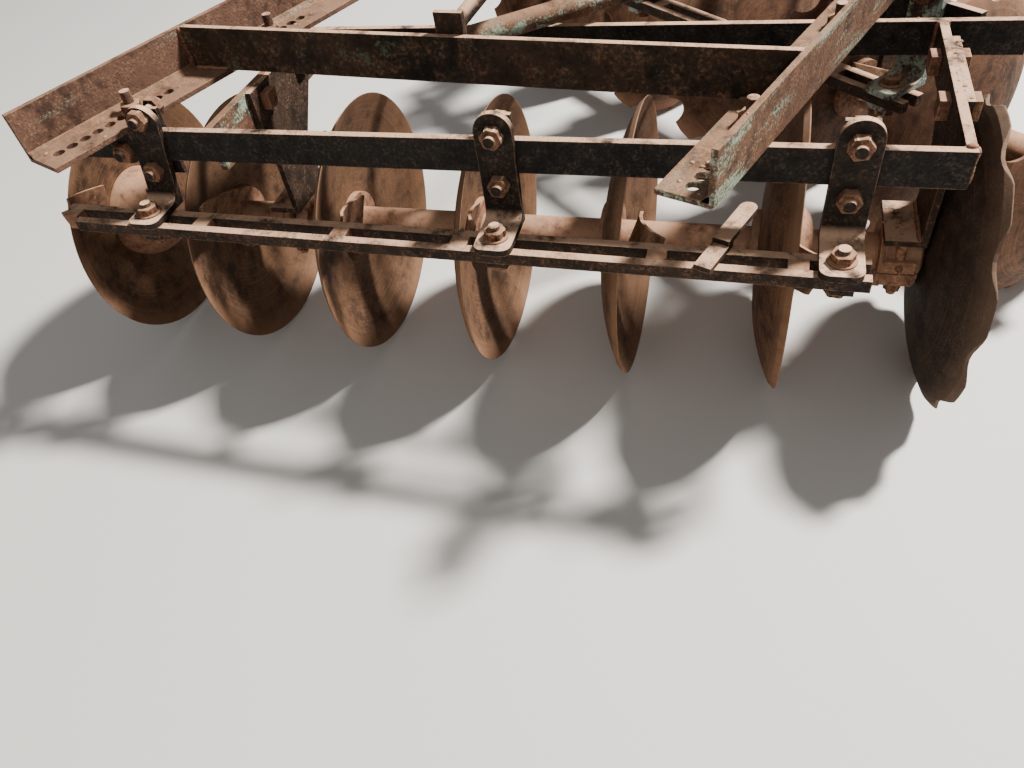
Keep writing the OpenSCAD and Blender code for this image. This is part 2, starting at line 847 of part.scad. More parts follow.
module mast_stay() {
    foot_z = top_z + angle_t + beam_h - lug_h / 2;
    low = shift + [0, beam_at(0, 0) + beam_t / 2 + lug_t - 2, foot_z + lug_h - 24];
    high = shift + [0, stay_bolt_y, stay_bolt_z];
    color(rust)
        difference() {
            union() {
                bar_between(low, high, stay_d * 0.7);
                on_beam(0) translate([-lug_w / 2, beam_t / 2, beam_h - lug_h / 2])
                    cube([lug_w, lug_t, lug_h]);
                translate([high[0] - top_gap / 2, high[1], high[2]]) rotate([0, 90, 0])
                    cylinder(r = stay_bush_r, h = top_gap, $fn = 48);
            }
            translate([high[0] - top_gap, high[1], high[2]]) rotate([0, 90, 0])
                cylinder(d = stay_bolt_d + 2 * bearing_gap, h = 2 * top_gap, $fn = 48);
            on_beam(0) translate([-lug_w, -beam_t, -1]) cube([2 * lug_w, 1.5 * beam_t, 2 * beam_h]);
        }
}

module stay_bolt() {
    len = top_gap + 2 * cheek_t;
    translate([-len / 2 - nut_t, stay_bolt_y, stay_bolt_z]) rotate([0, 90, 0]) {
        cylinder(d = stay_bolt_d, h = len + 2 * nut_t, $fn = 48);
        hex_head(nut_af, nut_t);
        translate([0, 0, len + nut_t]) hex_head(nut_af, nut_t);
    }
}

module diagonal_pipe() {
    x0 = -130;
    x1 = frame_w / 2 - angle_leg - 30;
    z = top_z + angle_t + stay_d / 2 + 4;
    past = 60;
    color(green)
        difference() {
            bar_between(shift + [x0 - past / 2, beam_at(0, x0) - past, z],
                shift + [x1 + past / 2, beam_at(1, x1) + past, z], stay_d);
            on_beam(0) translate([-frame_w, beam_t / 2 - frame_w, -1]) cube([2 * frame_w, frame_w, beam_h]);
            on_beam(1) translate([-frame_w, -beam_t / 2, -1]) cube([2 * frame_w, frame_w, beam_h]);
        }
}

angle_iron(-1, rear_end[0]);  // main_angle_left
angle_iron(1, rear_end[1]);  // main_angle_right
cross_beam(0);  // cross_beam_rear
cross_beam(1);  // cross_beam_front
headstock_tube();
link_plates();
link_pins();
mast(-1);  // mast_left
mast(1);  // mast_right
mast_head();
mast_stay();
diagonal_pipe();
rear() trailing_bar(rear_trail_reach);  // rear_trailing_bar
rear() leading_bar();  // rear_leading_bar
rear() end_bar();  // rear_end_bar
rear() cross_plate();  // rear_cross_plate
rear() cleats(rear_at, 1);  // rear_cleats
rear() { hangers(rear_hanger_table); side_plate(); }  // rear_hangers
rear() scraper_bars(rear_scraper_starts);  // rear_scraper_bars
rear() scrapers([0, 1, 2, 3, 4, 5]);  // rear_scrapers
rear() lever();  // scraper_lever
rear() standard(end_x);  // rear_end_standard
rear() bearing(end_x);  // rear_end_bearing
rear() standard(bar_t - cross_x);  // rear_cross_standard
rear() bearing(bar_t - cross_x);  // rear_cross_bearing
rear() axle();  // rear_axle
rear() discs(0, disc_count - 2);  // rear_discs
rear() end_disc();  // rear_end_disc
rear() spools();  // rear_spools
rear() bells();  // rear_bells
front() trailing_bar(front_trail_reach);  // front_trailing_bar
front() leading_bar();  // front_leading_bar
front() end_bar();  // front_end_bar
front() cross_plate();  // front_cross_plate
front() cleats(front_at, -1);  // front_cleats
front() hangers(front_hanger_table);  // front_hangers
front() scraper_bars(front_scraper_starts);  // front_scraper_bars
front() scrapers([1, 2, 3, 4, 5]);  // front_scrapers
front() standard(end_x);  // front_end_standard
front() bearing(end_x);  // front_end_bearing
front() standard(bar_t - cross_x);  // front_cross_standard
front() bearing(bar_t - cross_x);  // front_cross_bearing
front() axle();  // front_axle
front() lobed_discs(0, disc_count - 1);  // front_discs
front() spools();  // front_spools
front() bells();  // front_bells
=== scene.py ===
"""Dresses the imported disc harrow: rust, worn paint, fasteners, welds, floor, light and camera.

All lengths are in metres in the part's own frame: X to the right, Y the way the harrow travels,
Z up from the ground. A gang has a frame of its own, with its middle disc at X 0.
"""

import logging
import math
import random
from collections.abc import Sequence
from dataclasses import dataclass, replace
from enum import Enum

import bmesh
import bpy
from mathutils import Matrix, Vector, noise


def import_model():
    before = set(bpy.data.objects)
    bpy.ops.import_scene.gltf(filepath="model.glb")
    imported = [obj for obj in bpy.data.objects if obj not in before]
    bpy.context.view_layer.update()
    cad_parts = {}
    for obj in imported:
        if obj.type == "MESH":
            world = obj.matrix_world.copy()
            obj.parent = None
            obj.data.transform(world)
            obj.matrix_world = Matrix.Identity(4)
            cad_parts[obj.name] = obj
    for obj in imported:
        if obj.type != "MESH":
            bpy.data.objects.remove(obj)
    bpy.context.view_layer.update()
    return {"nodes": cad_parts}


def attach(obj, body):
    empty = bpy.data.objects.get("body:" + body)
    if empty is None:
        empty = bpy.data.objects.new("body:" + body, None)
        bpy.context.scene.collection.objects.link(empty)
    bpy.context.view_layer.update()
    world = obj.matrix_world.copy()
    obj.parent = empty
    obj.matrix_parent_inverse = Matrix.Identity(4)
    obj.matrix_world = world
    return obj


log = logging.getLogger("harrow")

Colour = tuple[float, float, float]
Pair = tuple[float, float]
Point = tuple[float, float, float]
Socket = bpy.types.NodeSocket
Tree = bpy.types.NodeTree
COLOUR, VALUE, VECTOR = "NodeSocketColor", "NodeSocketFloat", "NodeSocketVector"


class Gang(Enum):
    """The two gangs, each with its node prefix."""

    REAR = "rear"
    FRONT = "front"


class Head(Enum):
    """Shapes of a bolt's head or nut, as a number of sides."""

    HEX = 6
    SQUARE = 4


class Way(Enum):
    """Directions in which a bolt points, in its gang's frame."""

    RIGHT = (1, 0, 0)
    LEFT = (-1, 0, 0)
    AHEAD = (0, 1, 0)
    BACK = (0, -1, 0)
    UP = (0, 0, 1)
    DOWN = (0, 0, -1)


@dataclass(frozen=True)
class GangPlace:
    """Where a gang stands in the row frame.

    Args:
        at: middle of the gang on the ground, with the whole machine's shift in it.
        mirrored: whether the gang is the rear one seen in a mirror.
        angle: angle between the gang and the line across the harrow, in degrees.
    """

    at: Pair
    mirrored: bool
    angle: float = 21.0

    def matrix(self) -> Matrix:
        """Returns the matrix from the gang's own frame to the row frame."""
        turn = Matrix.Rotation(math.radians(self.angle), 4, "Z")
        flip = Matrix.Scale(-1.0 if self.mirrored else 1.0, 4, Vector((1, 0, 0)))
        return Matrix.Translation(Vector((*self.at, 0.0))) @ flip @ turn


PLACES = {
    Gang.REAR: GangPlace((-0.087, -0.5328), False),
    Gang.FRONT: GangPlace((0.087, 0.2892), True),
}
# top of the gang bars and height of the axles
TOP_Z = 0.523
AXLE_Z = 0.236
# from the main frame's own middle to the row frame
SHIFT = Matrix.Translation(Vector((-0.055, -0.1218, 0.0)))


@dataclass(frozen=True)
class Sizes:
    """Sizes of the harrow that the small parts are placed by, in metres and degrees."""

    half_w: float = 0.1825
    bar_t: float = 0.012
    bar_h: float = 0.050
    end_x: float = 0.705
    cross_x: float = 0.3422
    cross_h: float = 0.072
    pitch: float = 0.242
    disc_t: float = 0.005
    bars_y: float = -0.2415
    bars_mid: float = 0.122
    bars_slope: float = 0.87
    scraper_z: float = 0.397
    scraper_bar_h: float = 0.018
    clamp_t: float = 0.008
    plate_t: float = 0.010
    frame_w: float = 0.949
    angle_t: float = 0.008
    angle_leg: float = 0.076
    rear_ends: Pair = (-0.879, -0.560)
    head_y: float = 0.950
    head_side: float = 0.076
    beam_y: Pair = (-0.436, 0.410)
    beam_slope: Pair = (15.3, -15.3)
    beam_t: float = 0.010
    beam_h: float = 0.068
    link_span: float = 0.683
    link_t: float = 0.014
    mast_z: float = 1.021
    mast_seams_x: Pair = (0.218, 0.282)
    mast_seams_y: Pair = (0.044, 0.058)
    seam_in: float = 0.004
    hanger_top: float = 0.539
    hanger_low_bolt: float = -0.062
    standard_bolts_y: Pair = (-0.028, 0.096)
    standard_foot: float = 0.052
    standard_foot_z: float = 0.298
    housing_in: float = 0.019
    stud_y: float = 0.040
    stud_drop: float = 0.022
    nipple_y: float = -0.0515
    nipple_up: float = 0.012
    cleat_y: float = 0.1385
    cleat_t: float = 0.010
    axle_nut_out: float = 0.012


SIZES = Sizes()
# right faces of the end bar and of the cross plate, where the bearing standards sit
BEARING_FACES = (SIZES.end_x, SIZES.bar_t - SIZES.cross_x)


class Nodes:
    """Short ways to add and join shader nodes in one tree."""

    def __init__(self, tree: Tree) -> None:
        """Args:
        tree: the node tree that is written to.
        """
        self.tree = tree

    def add(self, kind: str, **values: object) -> bpy.types.Node:
        """Adds a node and sets its properties.

        Args:
            kind: the node's type name.
            values: properties of the node.

        Returns:
            The new node.
        """
        node = self.tree.nodes.new(kind)
        for name, value in values.items():
            setattr(node, name, value)
        return node

    def join(self, source: Socket, target: Socket) -> None:
        """Links one socket to another."""
        self.tree.links.new(source, target)

    def feed(self, target: Socket, value: object) -> None:
        """Gives a socket a link if the value is a socket, or else a constant."""
        if isinstance(value, Socket):
            self.join(value, target)
        else:
            target.default_value = value

    def maths(self, operation: str, a: object, b: object = 0.0, clamp: bool = False) -> Socket:
        """Adds a Math node.

        Args:
            operation: the node's operation.
            a: first value or socket.
            b: second value or socket.
            clamp: whether the result is kept between 0 and 1.

        Returns:
            The result's socket.
        """
        node = self.add("ShaderNodeMath", operation=operation, use_clamp=clamp)
        self.feed(node.inputs[0], a)
        self.feed(node.inputs[1], b)
        return node.outputs[0]

    def blend(self, factor: object, a: object, b: object) -> Socket:
        """Mixes two colours.

        Args:
            factor: how much of the second colour shows.
            a: first colour or socket.
            b: second colour or socket.

        Returns:
            The mixed colour's socket.
        """
        node = self.add("ShaderNodeMix", data_type="RGBA")
        self.feed(node.inputs[0], factor)
        self.feed(node.inputs[6], a if isinstance(a, Socket) else (*a, 1.0))
        self.feed(node.inputs[7], b if isinstance(b, Socket) else (*b, 1.0))
        return node.outputs[2]

    def step(
        self, value: object, low: float, high: float, out_low: float = 0.0, out_high: float = 1.0
    ) -> Socket:
        """Maps a range of values smoothly onto another.

        Args:
            value: the socket that is read.
            low: value that gives out_low.
            high: value that gives out_high.
            out_low: result at and below low.
            out_high: result at and above high.

        Returns:
            The mapped value's socket.
        """
        node = self.add("ShaderNodeMapRange", interpolation_type="SMOOTHSTEP")
        self.feed(node.inputs["Value"], value)
        self.feed(node.inputs["From Min"], low)
        self.feed(node.inputs["From Max"], high)
        self.feed(node.inputs["To Min"], out_low)
        self.feed(node.inputs["To Max"], out_high)
        return node.outputs["Result"]

    def noise(self, where: Socket, scale: object, detail: float = 4.0, rough: float = 0.6) -> Socket:
        """Adds a noise texture.

        Args:
            where: the coordinates.
            scale: cells per metre.
            detail: octaves.
            rough: weight of the fine octaves.

        Returns:
            The noise value's socket.
        """
        node = self.add("ShaderNodeTexNoise")
        self.join(where, node.inputs["Vector"])
        self.feed(node.inputs["Scale"], scale)
        node.inputs["Detail"].default_value = detail
        node.inputs["Roughness"].default_value = rough
        return node.outputs["Fac"]

    def times(self, a: object, b: object) -> Socket:
        """Multiplies two values or sockets."""
        return self.maths("MULTIPLY", a, b)

    def total(self, a: Socket, share_a: float, b: Socket, share_b: float) -> Socket:
        """Adds two sockets, each times its share."""
        return self.maths("ADD", self.times(a, share_a), self.times(b, share_b))

    def vectors(self, operation: str, a: Socket, b: Socket) -> bpy.types.Node:
        """Adds a Vector Math node over two sockets and returns it."""
        node = self.add("ShaderNodeVectorMath", operation=operation)
        self.join(a, node.inputs[0])
        self.join(b, node.inputs[1])
        return node

    def spot(self) -> Socket:
        """Returns the shaded point in the object's own coordinates."""
        return self.add("ShaderNodeTexCoord").outputs["Object"]

    def lift(self) -> Socket:
        """Returns how far the face looks up, as the Z of its normal."""
        split = self.add("ShaderNodeSeparateXYZ")
        self.join(self.add("ShaderNodeTexCoord").outputs["Normal"], split.inputs[0])
        return split.outputs["Z"]


class EffectGroups:
    """Builds the shader node groups that several finishes share."""

    def __init__(self) -> None:
        """Builds every group once."""
        self.rust = self._rust_scale()
        self.edge = self._edge_wear()
        self.soil = self._dust_and_top_highlight()
        self.paint = self._paint_film()
        self.rings = self._soil_polish()

    @staticmethod
    def _start(
        name: str, inputs: Sequence[tuple[str, str, object]], outputs: Sequence[tuple[str, str]]
    ) -> tuple[Nodes, bpy.types.Node, bpy.types.Node]:
        """Makes an empty group with named sockets.

        Args:
            name: the group's name.
            inputs: name, socket type and default of each input.
            outputs: name and socket type of each output.

        Returns:
            The node helper, the group input node and the group output node.
        """
        tree = bpy.data.node_groups.new(name, "ShaderNodeTree")
        for label, kind, default in inputs:
            socket = tree.interface.new_socket(name=label, in_out="INPUT", socket_type=kind)
            socket.default_value = default
        for label, kind in outputs:
            tree.interface.new_socket(name=label, in_out="OUTPUT", socket_type=kind)
        nodes = Nodes(tree)
        return nodes, nodes.add("NodeGroupInput"), nodes.add("NodeGroupOutput")

    def _rust_scale(self) -> Tree:
        """Returns the group for old rust: blotches, grain and pits."""
        nodes, given, out = self._start(
            "Rust scale",
            [("Dark", COLOUR, (0.03, 0.015, 0.01, 1)), ("Middle", COLOUR, (0.09, 0.045, 0.03, 1)),
             ("Light", COLOUR, (0.2, 0.1, 0.07, 1)), ("Blotch scale", VALUE, 9.0),
             ("Grain scale", VALUE, 240.0), ("Pitting", VALUE, 0.5)],
            [("Color", COLOUR), ("Roughness", VALUE), ("Height", VALUE)],
        )
        where = nodes.spot()
        dark = given.outputs["Dark"]
        blotches = given.outputs["Blotch scale"]
        grains = given.outputs["Grain scale"]
        blotch = nodes.noise(where, blotches, 6.0, 0.62)
        patch = nodes.noise(where, nodes.times(blotches, 5.3), 5.0, 0.6)
        grain = nodes.noise(where, grains, 5.0, 0.7)
        cells = nodes.add("ShaderNodeTexVoronoi", feature="F1")
        nodes.join(where, cells.inputs["Vector"])
        nodes.join(nodes.times(grains, 0.7), cells.inputs["Scale"])
        pit = nodes.step(cells.outputs["Distance"], 0.05, 0.42)
        tone = nodes.total(blotch, 0.55, patch, 0.45)
        first = nodes.blend(nodes.step(tone, 0.36, 0.56), dark, given.outputs["Middle"])
        speck = nodes.times(nodes.step(grain, 0.46, 0.7), nodes.step(patch, 0.4, 0.62))
        second = nodes.blend(speck, first, given.outputs["Light"])
        shade = nodes.times(nodes.maths("SUBTRACT", 1.0, pit), given.outputs["Pitting"])
        nodes.join(nodes.blend(nodes.times(shade, 0.6), second, dark), out.inputs["Color"])
        nodes.join(nodes.step(grain, 0.3, 0.7, 0.95, 0.7), out.inputs["Roughness"])
        relief = nodes.total(grain, 0.5, patch, 0.7)
        nodes.join(nodes.maths("SUBTRACT", relief, shade), out.inputs["Height"])
        return nodes.tree

    def _edge_wear(self) -> Tree:
        """Returns the group that finds worn edges from a rounded normal."""
        nodes, given, out = self._start(
            "Edge wear", [("Radius", VALUE, 0.002), ("Breakup", VALUE, 70.0)],
            [("Mask", VALUE), ("Normal", VECTOR)],
        )
        rounded = nodes.add("ShaderNodeBevel", samples=4)
        nodes.join(given.outputs["Radius"], rounded.inputs["Radius"])
        flat = nodes.add("ShaderNodeNewGeometry")
        match = nodes.vectors("DOT_PRODUCT", rounded.outputs["Normal"], flat.outputs["Normal"])
        turn = nodes.step(nodes.maths("SUBTRACT", 1.0, match.outputs["Value"]), 0.005, 0.12)
        broken = nodes.step(nodes.noise(nodes.spot(), given.outputs["Breakup"], 4.0, 0.65), 0.34, 0.6)
        nodes.join(nodes.maths("MULTIPLY", turn, broken, clamp=True), out.inputs["Mask"])
        nodes.join(rounded.outputs["Normal"], out.inputs["Normal"])
        return nodes.tree

    def _dust_and_top_highlight(self) -> Tree:
        """Returns the group for dust and dry soil on faces that look up; under a pale dust colour it is also
        a painted highlight on them.
        """
        nodes, given, out = self._start(
            "Dust and top highlight", [("Amount", VALUE, 0.5), ("Patch scale", VALUE, 24.0)], [("Mask", VALUE)]
        )
        up = nodes.step(nodes.lift(), 0.1, 0.95)
        patch = nodes.step(nodes.noise(nodes.spot(), given.outputs["Patch scale"], 6.0, 0.68), 0.3, 0.54)
        mask = nodes.maths("MULTIPLY", nodes.times(up, patch), given.outputs["Amount"], clamp=True)
        nodes.join(mask, out.inputs["Mask"])
        return nodes.tree

    def _paint_film(self) -> Tree:
        """Returns the group for what is left of a coat of paint: thin streaks along Y with ragged rims."""
        nodes, given, out = self._start(
            "Paint film",
            [("Coverage", VALUE, 0.5), ("Patch scale", VALUE, 11.0), ("Stretch", VECTOR, (1, 1, 1))],
            [("Mask", VALUE), ("Height", VALUE)],
        )
        where = nodes.spot()
        scale = given.outputs["Patch scale"]
        drawn = nodes.vectors("MULTIPLY", where, given.outputs["Stretch"])
        broad = nodes.noise(drawn.outputs[0], scale, 5.0, 0.6)
        ragged = nodes.noise(where, nodes.times(scale, 7.0), 6.0, 0.72)
        level = nodes.total(broad, 0.62, ragged, 0.38)
        limit = nodes.maths("SUBTRACT", 0.72, nodes.times(given.outputs["Coverage"], 0.44))
        film = nodes.step(nodes.maths("SUBTRACT", level, limit), -0.03, 0.05)
        nodes.join(film, out.inputs["Mask"])
        nodes.join(film, out.inputs["Height"])
        return nodes.tree

    def _soil_polish(self) -> Tree:
        """Returns the group for fine scratches that run round a turned part, from its axis outwards."""
        nodes, given, out = self._start(
            "Soil polish",
            [("Centre", VECTOR, (0, 0, 0)), ("Axis", VECTOR, (1, 0, 0)), ("Lines", VALUE, 260.0)],
            [("Mask", VALUE), ("Radius", VALUE)],
        )
        where = nodes.spot()
        arm = nodes.vectors("SUBTRACT", where, given.outputs["Centre"])
        across = nodes.vectors("CROSS_PRODUCT", arm.outputs[0], given.outputs["Axis"])
        radius = nodes.add("ShaderNodeVectorMath", operation="LENGTH")
        nodes.join(across.outputs[0], radius.inputs[0])
        line = nodes.add("ShaderNodeTexNoise", noise_dimensions="1D")
        nodes.join(radius.outputs["Value"], line.inputs["W"])
        nodes.join(given.outputs["Lines"], line.inputs["Scale"])
        line.inputs["Detail"].default_value = 5.0
        broken = nodes.noise(where, 14.0, 4.0, 0.6)
        fine = nodes.step(line.outputs["Fac"], 0.5, 0.68)
        nodes.join(nodes.times(fine, nodes.step(broken, 0.4, 0.6)), out.inputs["Mask"])
        nodes.join(radius.outputs["Value"], out.inputs["Radius"])
        return nodes.tree


@dataclass(frozen=True)
class RustFinish:
    """Rusted steel or iron, with worn edges, settled dust and, where asked, old paint or soil scratches.

    Args:
        name: the material's name.
        slot: the record's material slot; not used.
        dark: colour in pits and wet-looking patches.
        middle: main colour.
        light: colour of the loose rust grain.
        edge: colour of worn edges.
        dust: colour of the settled soil; the pale one of the bar finishes is partly a painted highlight on
            faces that look up.
        blotch: blotches per metre.
        grain: grains per metre.
        pitting: depth of the pits, 0 to 1.
        relief: depth of the bump, in metres.
        dust_amount: how much soil lies on faces that look up, and with a pale dust colour how much painted
            highlight.
        edge_amount: how strongly edges show.
        paint: colour of what is left of the paint, or None.
        coverage: share of the paint that is left.
        top_paint: how well the paint covers faces that look up, 0 to 1.
        polish_of: the gang whose axis the soil scratches run round, or None.
    """

    name: str
    slot: str
    dark: Colour
    middle: Colour
    light: Colour
    edge: Colour
    dust: Colour = (0.29, 0.19, 0.13)
    blotch: float = 9.0
    grain: float = 240.0
    pitting: float = 0.5
    relief: float = 0.0009
    dust_amount: float = 0.5
    edge_amount: float = 0.7
    paint: Colour | None = None
    coverage: float = 0.0
    top_paint: float = 0.16
    polish_of: Gang | None = None

    def build(self, groups: EffectGroups) -> bpy.types.Material:
        """Builds the material.

        Args:
            groups: the shared shader groups.

        Returns:
            The new material.
        """
        material = bpy.data.materials.new(self.name)
        material.use_nodes = True
        nodes = Nodes(material.node_tree)
        shader = material.node_tree.nodes["Principled BSDF"]
        rust = self._place(nodes, groups.rust, {
            "Dark": (*self.dark, 1), "Middle": (*self.middle, 1), "Light": (*self.light, 1),
            "Blotch scale": self.blotch, "Grain scale": self.grain, "Pitting": self.pitting,
        })
        colour, rough, height = rust.outputs["Color"], rust.outputs["Roughness"], rust.outputs["Height"]
        if self.polish_of:
            place = PLACES[self.polish_of]
            axis = place.matrix().to_3x3() @ Vector((1, 0, 0))
            rings = self._place(nodes, groups.rings, {
                "Centre": (*place.at, AXLE_Z), "Axis": tuple(axis), "Lines": 210.0,
            })
            colour = nodes.blend(nodes.times(rings.outputs["Mask"], 0.45), colour, self.light)
            rim = nodes.step(rings.outputs["Radius"], 0.19, 0.232)
            colour = nodes.blend(nodes.times(rim, 0.35), colour, self.edge)
        if self.paint:
            film = self._place(nodes, groups.paint, {
                "Coverage": self.coverage, "Patch scale": 34.0, "Stretch": (1.0, 0.16, 1.0),
            })
            dim = tuple(0.7 * c for c in self.paint)
            faded = nodes.blend(nodes.noise(nodes.spot(), 60.0), self.paint, dim)
            worn_top = nodes.step(nodes.lift(), 0.3, 0.8, 0.72, self.top_paint)
            cover = nodes.times(film.outputs["Mask"], worn_top)
            colour = nodes.blend(cover, colour, faded)
            rough = nodes.maths("SUBTRACT", rough, nodes.times(film.outputs["Mask"], 0.2))
            height = nodes.maths("ADD", height, nodes.times(film.outputs["Height"], 0.3))
        edge = self._place(nodes, groups.edge, {"Radius": 0.0022, "Breakup": 60.0})
        colour = nodes.blend(nodes.times(edge.outputs["Mask"], self.edge_amount), colour, self.edge)
        # Faces that look up take the dust colour: real soil, and with the bar finishes' pale dust also a
        # painted highlight.
        soil = self._place(nodes, groups.soil, {"Amount": self.dust_amount, "Patch scale": 22.0})
        colour = nodes.blend(soil.outputs["Mask"], colour, self.dust)
        nodes.join(colour, shader.inputs["Base Color"])
        nodes.join(rough, shader.inputs["Roughness"])
        shader.inputs["Specular IOR Level"].default_value = 0.2
        bump = nodes.add("ShaderNodeBump")
        bump.inputs["Strength"].default_value = 1.0
        bump.inputs["Distance"].default_value = self.relief
        nodes.join(height, bump.inputs["Height"])
        nodes.join(edge.outputs["Normal"], bump.inputs["Normal"])
        nodes.join(bump.outputs["Normal"], shader.inputs["Normal"])
        return material

    @staticmethod
    def _place(nodes: Nodes, group: Tree, values: dict[str, object]) -> bpy.types.Node:
        """Puts a group into the material with its own values.

        Args:
            nodes: the material's node helper.
            group: the shared group.
            values: input values by name.

        Returns:
            The group node.
        """
        node = nodes.add("ShaderNodeGroup", node_tree=group)
        for name, value in values.items():
            node.inputs[name].default_value = value
        return node

    def like(self, name: str, *colours: Colour, **changes: object) -> "RustFinish":
        """Returns a copy under another name.

        Args:
            name: the new material's name.
            colours: new colours in the order dark, middle, light, edge, dust.
            changes: other fields that differ.

        Returns:
            The new finish.
        """
        shades = dict(zip(("dark", "middle", "light", "edge", "dust"), colours))
        return replace(self, name=name, **shades, **changes)


DISC = RustFinish("Front disc rust", "disc_rust", (0.031, 0.015, 0.008), (0.095, 0.044, 0.024),
                  (0.179, 0.086, 0.046), (0.291, 0.144, 0.084), blotch=7.0, grain=320.0, pitting=0.3,
                  relief=0.0005, dust_amount=0.35, polish_of=Gang.FRONT)
# The pale dust colour of this finish, and of the finishes made from it, is partly real soil and partly a
# painted highlight on faces that look up.
BAR = RustFinish("Pitted bar rust", "bar_rust", (0.01, 0.006, 0.004), (0.03, 0.017, 0.011),
                 (0.13, 0.066, 0.038), (0.3, 0.16, 0.09), (0.56, 0.35, 0.23), grain=210.0, pitting=0.7,
                 relief=0.0011, dust_amount=0.85)
BOLT = RustFinish("Bolt rust", "bar_rust", (0.045, 0.021, 0.012), (0.146, 0.067, 0.038),
                  (0.314, 0.158, 0.091), (0.504, 0.288, 0.175), (0.448, 0.259, 0.16), blotch=30.0,
                  grain=420.0, pitting=0.4, relief=0.0004, dust_amount=0.6)
PAINT = RustFinish("Worn green paint", "frame_paint", (0.035, 0.017, 0.011), (0.1, 0.05, 0.03),
                   (0.23, 0.12, 0.066), (0.36, 0.2, 0.11), (0.4, 0.23, 0.135), blotch=8.0,
                   relief=0.0008, dust_amount=0.35, paint=(0.33, 0.45, 0.34), coverage=0.4)
FINISHES = {
    "rear_disc": DISC.like("Disc rust", (0.0331, 0.0161, 0.0093), (0.0952, 0.0476, 0.0247),
                           (0.181, 0.0918, 0.0476), (0.37, 0.192, 0.106), pitting=0.25,
                           relief=0.0004, polish_of=Gang.REAR),
    "front_disc": DISC,
    "casting": RustFinish("Cast iron rust", "casting", (0.0775, 0.0375, 0.0213), (0.2375, 0.1175, 0.0688),
                          (0.4337, 0.2338, 0.14), (0.47, 0.269, 0.163), (0.47, 0.278, 0.175), blotch=14.0,
                          grain=380.0, pitting=0.2, relief=0.0004, dust_amount=0.6),
    "bar": BAR,
    "beam": BAR.like("Beam rust", (0.01, 0.008, 0.006), (0.045, 0.026, 0.017), (0.17, 0.092, 0.052),
                     (0.32, 0.18, 0.11), blotch=5.0, grain=150.0, pitting=0.9, relief=0.0014,
                     paint=(0.12, 0.14, 0.085), coverage=0.3),
    # Near-black rust colours on the hangers are painted shade; their pale dust is partly real soil and
    # partly a painted highlight on faces that look up.
    "hanger": BAR.like("Hanger rust with painted shade", (0.007, 0.0045, 0.0035), (0.017, 0.0115, 0.0085),
                       (0.08, 0.045, 0.028), (0.36, 0.21, 0.13), (0.6, 0.38, 0.25), dust_amount=1.0),
    "front_hanger": BAR.like("Painted hanger", (0.03, 0.018, 0.012), (0.08, 0.045, 0.03),
                             (0.2, 0.11, 0.07), (0.36, 0.21, 0.13), pitting=0.6, relief=0.0009,
                             dust_amount=0.3, paint=(0.4, 0.52, 0.43), coverage=0.5, top_paint=0.8),
    # Near-black rust colours on the trailing and leading bars are painted shade.
    "bar_in_painted_shade": BAR.like("Bar rust with painted shade", (0.006, 0.005, 0.0045), (0.014, 0.012, 0.01),
                         (0.06, 0.038, 0.027), (0.32, 0.18, 0.11)),
    # Darker rust colours than the other discs: painted shade on the end disc.
    "end_disc": DISC.like("Disc rust with painted shade", (0.012, 0.008, 0.006), (0.034, 0.022, 0.015),
                          (0.08, 0.05, 0.033), (0.2, 0.12, 0.08), polish_of=Gang.REAR),
    "worn": RustFinish("Worn steel rust", "worn_steel", (0.0644, 0.031, 0.0184), (0.1805, 0.0885, 0.0506),
                       (0.3473, 0.1817, 0.1046), (0.493, 0.278, 0.167), (0.482, 0.288, 0.182),
                       blotch=12.0, grain=300.0, pitting=0.35, relief=0.0006, dust_amount=0.75),
    "fastener": BOLT,
    "weld": BOLT.like("Weld rust", (0.05, 0.023, 0.014), (0.157, 0.073, 0.043), (0.314, 0.154, 0.091),
                      (0.403, 0.221, 0.137), blotch=24.0, grain=380.0, pitting=0.3, dust_amount=0.5),
    "soil": RustFinish("Dry soil", "bar_rust", (0.112, 0.06, 0.034), (0.269, 0.154, 0.091),
                       (0.448, 0.278, 0.175), (0.47, 0.298, 0.19), (0.47, 0.298, 0.19), blotch=60.0,
                       grain=500.0, pitting=0.3, relief=0.0006, edge_amount=0.2),
    "paint": PAINT,
    "thin_paint": PAINT.like("Last traces of paint", (0.035, 0.017, 0.012), (0.1, 0.052, 0.034),
                             (0.22, 0.12, 0.074), (0.36, 0.2, 0.12), (0.4, 0.24, 0.15),
                             paint=(0.24, 0.28, 0.2), coverage=0.27),
}

NODE_FINISHES = (
    # word in the node's name, finish; the first that fits is taken
    ("rear_end_disc", "end_disc"),
    ("rear_discs", "rear_disc"),
    ("front_discs", "front_disc"),
    ("spools", "casting"),
    ("bells", "casting"),
    ("bearing", "casting"),
    ("axle", "worn"),
    ("link_pins", "worn"),
    ("scrapers", "worn"),
    ("scraper", "bar"),
    ("front_hangers", "front_hanger"),
    ("hangers", "hanger"),
    ("standard", "bar"),
    ("cleats", "bar"),
    ("end_bar", "bar"),
    ("ing_bar", "bar_in_painted_shade"),
    ("cross_beam", "beam"),
    ("stay", "bar"),
    ("angle_left", "thin_paint"),
    ("", "paint"),
)


class Wardrobe:
    """Holds the built materials and gives them to nodes and pieces."""

    def __init__(self, groups: EffectGroups) -> None:
        """Args:
        groups: the shared shader groups.
        """
        self.made = {name: finish.build(groups) for name, finish in FINISHES.items()}

    def dress_nodes(self, nodes: dict[str, bpy.types.Object]) -> None:
        """Gives every CAD node its finish.

        Args:
            nodes: the frame's nodes by name.
        """
        for name, node in nodes.items():
            finish = next(value for word, value in NODE_FINISHES if word in name)
            for place in node.material_slots:
                place.material = self.made[finish]
            log.info("node %s wears %s", name, finish)

    def dress(self, piece: bpy.types.Object, finish: str) -> None:
        """Gives a new piece its finish.

        Args:
            piece: the new object.
            finish: a key of FINISHES.
        """
        piece.data.materials.clear()
        piece.data.materials.append(self.made[finish])


